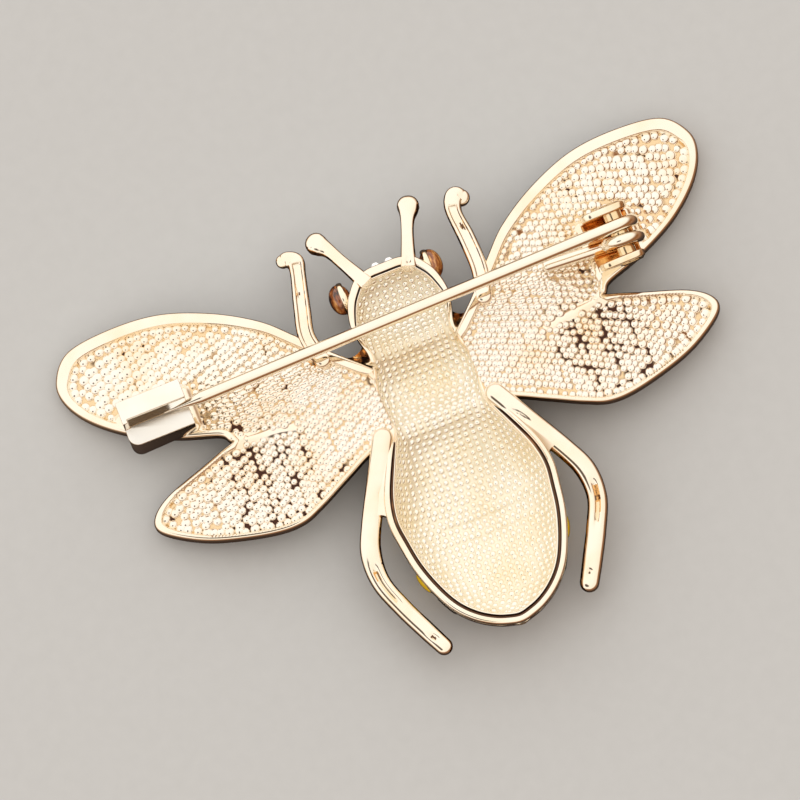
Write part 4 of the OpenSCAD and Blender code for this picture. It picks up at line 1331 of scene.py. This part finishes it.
# %% [markdown]
# The bracket is a base with two ears that are bent up. Stamped sheet has softly rounded edges,
# so each part is a plate that is made from its outline, with a quarter round at both faces. The
# ears are drilled for the rivet. Their inner sides and the whole base are deep orange, which is
# painted reflection and painted shade.

# %% Bracket
def pillow(outline, low, high, radius):
    """A plate's outlines and their levels, with the edges of both faces rounded."""
    arc = np.linspace(0, math.pi / 2, 6)
    steps = [(radius * (1 - math.sin(a)), low + radius * (1 - math.cos(a))) for a in arc]
    steps += [(radius * (1 - math.cos(a)), high - radius * (1 - math.sin(a))) for a in arc]
    return [(outline + inward_of(outline) * inset, level) for inset, level in steps]


EAR_FAR, EAR_NEAR, EAR_TOP, EAR_CORNER, EAR_FOOT = -2.4, 1.2, 1.3, 0.9, -2.85
EAR_EDGE, BASE_EDGE, BASE_LOW, BASE_TOP, BASE_SHIFT = 0.17, 0.12, 2.7, 3.57, 0.2


def ear_outline():
    arc = np.linspace(0, math.pi / 2, 14)
    long, short, top = EAR_CORNER * np.cos(arc), EAR_CORNER * np.sin(arc), EAR_TOP - EAR_CORNER
    right = np.column_stack([EAR_NEAR - EAR_CORNER + long, top + short])
    left = np.column_stack([EAR_FAR + EAR_CORNER - short, top + long])
    feet = [(EAR_FAR, EAR_FOOT), (EAR_NEAR, EAR_FOOT)]
    return rounded(even(np.concatenate([feet[1:], right, left, feet]), 0.1)[:-1], 1)


def ear(side):
    middle = side * EAR_SPAN / 2
    rings = [in_frame(hinge_frame, np.insert(flat, 1, middle + level, axis=1))
             for flat, level in pillow(ear_outline(), -EAR_T / 2, EAR_T / 2, EAR_EDGE)]
    plate = new_piece("bracket_%s_ear" % ("lower" if side < 0 else "upper"), *skin_through(rings),
                      bracket_gold, sharp=60)
    hole = spun([(RIVET_R + 0.05, middle + level) for level in (-0.6, 0.6)], 40)
    cut_with(plate, new_piece("drill", *skin_through(hole), bracket_gold))
    there, origin = in_frame(hinge_frame, [(0, -side, 0), (0, 0, 0)])
    plate.data.materials.clear()
    for finish in (bracket_gold, hollow_reflection_gold):
        plate.data.materials.append(finish)
    # The inner sides get the deep orange of painted reflection and painted shade.
    give_finish(plate, 1, lambda face: face.normal.dot(Vector(there - origin)) > 0.6)
    return plate


def bracket_base():
    low, high = HINGE.x + EAR_FAR, HINGE.x + EAR_NEAR
    y0, y1 = HINGE.y - EAR_SPAN / 2 + BASE_SHIFT, HINGE.y + EAR_SPAN / 2 + BASE_SHIFT
    loop = np.array([(low, y0), (high, y0), (high, y1), (low, y1), (low, y0)])
    rings = [np.insert(flat, 2, level, axis=1)
             for flat, level in pillow(rounded(even(loop, 0.1)[:-1], 1), BASE_LOW, BASE_TOP, BASE_EDGE)]
    # The whole base gets the deep orange of painted reflection and painted shade.
    return new_piece("bracket_base", *skin_through(rings), hollow_reflection_gold, sharp=60)


bracket = [ear(1), ear(-1), bracket_base()]
print("bracket:", sum(triangles(o) for o in bracket), "triangles")

# %% [markdown]
# ## Enamel
# Enamel is coloured glass or resin that is melted or poured into its cells. A deep colour under
# a clear coat shows that best. A glass shader over metal would be truer, but at this thickness
# the light that gets through is too little to see.

# %% Enamel finishes
def enamel(name, colour, deep):
    material, tree, shader = new_material(name, Roughness=0.12, Coat_Weight=0.8, Coat_Roughness=0.04)
    cloud = noise(tree, object_place(tree), 500.0, 3.0)
    feed(shader, Base_Color=mixed(tree, cloud, (*colour, 1), (*deep, 1)),
         Normal=relief(tree, 0.08, cloud))
    return material


enamel_black = enamel("enamel_black", (0.012, 0.01, 0.009), (0.03, 0.024, 0.02))
enamel_yellow = enamel("enamel_yellow", (0.9, 0.62, 0.03), (0.78, 0.47, 0.02))
print("finishes:", enamel_black.name, enamel_yellow.name)

# %% [markdown]
# Each band is a skin through cross-sections of the body, made a little fuller, so it follows the
# crest exactly. The edges of a poured band are drawn down to the metal by its surface tension,
# and on one band the enamel ran and pooled low down, which shows as a yellow sliver at the
# abdomen's edge in the photo. A copy of the solid would have flat edges and no pool.

# %% Enamel bands
SWELL, OVERLAP, POOLED, POOL_AT = 0.12, 0.05, 3, 21


def enamel_band(index):
    """A band's rings. It stands proud by a swell, and one band pooled at its lower edges."""
    start, end = band_edges[index]
    angle = np.radians(np.linspace(BAND_ANGLE, 180 - BAND_ANGLE, 70))
    side_soft = np.minimum(1, np.minimum(np.arange(70), 69 - np.arange(70)) / 3.0) ** 0.5
    low_down = np.exp(-(((np.degrees(np.minimum(angle, np.pi - angle)) - POOL_AT) / 9) ** 2))
    rings = []
    for t in np.linspace(0, 1, 14):
        u = start + (end - start) * t
        soft = min(1.0, (min(t, 1 - t) / 0.12)) ** 0.5
        pooled = (0.34 * math.sin(math.pi * t) ** 0.5 if index == POOLED else 0.1) * low_down
        grow = (SWELL + pooled + OVERLAP) * soft * side_soft - OVERLAP
        top = section(u, angle, half_w(u) + grow, rim_z(u), crest_z(u) + max(0, 0.05 * (1 - soft)))
        inner = section(u, angle[::-1], half_w(u) - ENAMEL, rim_z(u), crest_z(u) + ENAMEL)
        rings.append(np.concatenate([top, inner]))
    return new_piece("enamel_%d_fill" % (index + 1), *skin_through(rings),
                     enamel_black if index % 2 == 0 else enamel_yellow, sharp=45)


fills = [enamel_band(k) for k in range(BANDS)]
print("enamel:", sum(triangles(o) for o in fills), "triangles")

# %% [markdown]
# ## Eyes and brow stones
# The eyes are polished beads of a streaked amber-brown, set in a thin collar. The streaks are a
# noise that is stretched one way, and a ramp turns it from near black to honey. A picture of
# amber would have to be wrapped round the bead and would pinch at its poles.

# %% Eyes
amber, tree, shader = new_material("amber_bead", Roughness=0.08, Coat_Weight=1.0, Coat_Roughness=0.03)
stretched = node(tree, "ShaderNodeMapping", Vector=object_place(tree), Scale=(1700.0, 500.0, 900.0),
                 Rotation=(0.2, 0.3, 0.5))
streaks = noise(tree, stretched.outputs["Vector"], 1.0, 5.0, Roughness=0.65)
honey = colour_ramp(tree, streaks, (0.4, (0.02, 0.005, 0.002)), (0.64, (0.95, 0.5, 0.16)),
                    (0.53, (0.42, 0.12, 0.03)))
feed(shader, Base_Color=honey, Normal=relief(tree, 0.15, streaks, 0.03))


EYE_X, EYE_AT, EYE_R = 3.72, (0.15, 11.65, 2.7), (0.86, 1.2, 1.05)
COLLAR_Y, COLLAR_Z, COLLAR_R, COLLAR_HALF = 1.14, 1.0, 0.14, 0.25


def eye(side):
    """A flattened bead, and its collar as a ring with a round section."""
    centre = np.array(EYE_AT) + [side * EYE_X, 0, 0]
    y, z = np.cos(full_turn(40)), np.sin(full_turn(40))
    rings = [centre + EYE_R * np.column_stack([np.full(40, side * math.cos(a)), math.sin(a) * y,
                                               math.sin(a) * z])
             for a in np.linspace(0.02, math.pi - 0.02, 26)]
    bead = new_piece("eye_%s_bead" % side_name(side), *skin_through(rings), amber)
    y, z = np.cos(full_turn(48)), np.sin(full_turn(48))
    rings = [centre + np.column_stack([np.full(48, side * (-COLLAR_HALF + COLLAR_HALF * math.cos(b))),
                                       (COLLAR_Y + COLLAR_R * math.sin(b)) * y,
                                       (COLLAR_Z + COLLAR_R * math.sin(b)) * z])
             for b in np.linspace(0, 2 * math.pi, 14)]
    points, faces = skin_through(rings)
    return bead, new_piece("eye_%s_collar" % side_name(side), points, faces[:-2], bracket_gold)


eyes = [eye(-1), eye(1)]
print("eyes:", sum(triangles(o) for pair in eyes for o in pair), "triangles")

# %% [markdown]
# A brow stone is cut glass with a foiled back, which throws back so much light that it looks
# white from every side. Its solid is used as it is, since its facets are flat. Real glass over
# foil would need many bounces of light for a stone of one millimetre, so the sparkle is a pale,
# slightly glowing colour that changes from spot to spot.

# %% Cut stone
crystal, tree, shader = new_material("cut_crystal", Roughness=0.03, IOR=1.55, Coat_Weight=1.0,
                                     Emission_Strength=0.55)
fire = node(tree, "ShaderNodeTexVoronoi", Vector=object_place(tree), Scale=2600.0)
sparkle = colour_ramp(tree, fire.outputs["Distance"], (0, (1, 1, 0.98)), (1, (0.84, 0.83, 0.8)))
feed(shader, Base_Color=sparkle, Emission_Color=sparkle)
for label in ("brow_stone_left", "brow_stone_right"):
    stone = frame["nodes"][label]
    stone.data.materials.clear()
    stone.data.materials.append(crystal)
print("stones:", crystal.name, "on 2")

# %% [markdown]
# ## The floor
# A pale sheet with a soft, slightly uneven finish lies under the brooch. Polished metal would
# mirror it as a pale band along every lower edge. The picture has dark edges there, as when the
# photographer lays the piece over a dark table, so mirror rays see the sheet dark.

# %% Floor
FLOOR_HALF, FLOOR_Z = 1500.0, -0.02
DARK, DARK_FADE = (0.04, 0.02, 0.012, 1), (0.022, 0.05)
paper, tree, shader = new_material("pale_sheet", Roughness=0.7)
spot = object_place(tree)
pale = colour_ramp(tree, noise(tree, spot, 900.0, 4.0), (0, (0.57, 0.57, 0.565)),
                   (1, (0.61, 0.61, 0.605)))
mirror_ray = node(tree, "ShaderNodeLightPath").outputs["Is Glossy Ray"]
distance = node(tree, "ShaderNodeVectorMath", {"operation": "LENGTH"}, n0=spot).outputs["Value"]
# Painted reflection: mirror rays see the sheet dark near the brooch, and further out a painted lit side and
# a painted shaded side.
lit = smooth_range(tree, towards(tree, spot, lit_side), -0.02, 0.06)
mirrored = mixed(tree, smooth_range(tree, distance, *DARK_FADE), DARK,
                 mixed(tree, lit, FOOT_SHADE, FOOT_LIT))
feed(shader, Base_Color=mixed(tree, mirror_ray, pale, mirrored))
corners = [(x * FLOOR_HALF, y * FLOOR_HALF, FLOOR_Z) for x, y in ((-1, -1), (1, -1), (1, 1), (-1, 1))]
floor = new_piece("floor_sheet", corners, [(0, 1, 2, 3)], paper)
print("floor:", 2 * FLOOR_HALF / 1000, "m wide")

# %% [markdown]
# ## Hand the pieces over
# Each piece is attached to the body that carries it, and the solid that it stands for is hidden.
# The whole casting is one solid in the frame, so everything that was cast replaces that one.

# %% Bodies and solids
def hand_over(piece, body, solid):
    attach(piece, body)
    if solid:
        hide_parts(solid)


casting = [shell, rim, wings, *limbs, *webs, eyes[0][1], eyes[1][1]]
casting += [o for o in scene.objects if o.name.startswith("pebbles_")]
for piece in casting:
    hand_over(piece, "brooch", "bee_casting")
for k, piece in enumerate(fills):
    hand_over(piece, "brooch", "enamel_band_%d" % (k + 1))
for (bead, _), label in zip(eyes, ("left", "right")):
    hand_over(bead, "brooch", "eye_" + label)
hand_over(catch, "brooch", "catch")
for piece in bracket:
    hand_over(piece, "brooch", "hinge_bracket")
hand_over(rivet, "brooch", "hinge_rivet")
hand_over(tail, "brooch", "spring_tail")
hand_over(pin, "pin", "pin_stem")
print("handed over:", len(casting) + len(fills) + len(eyes) + len(bracket) + 4, "pieces")
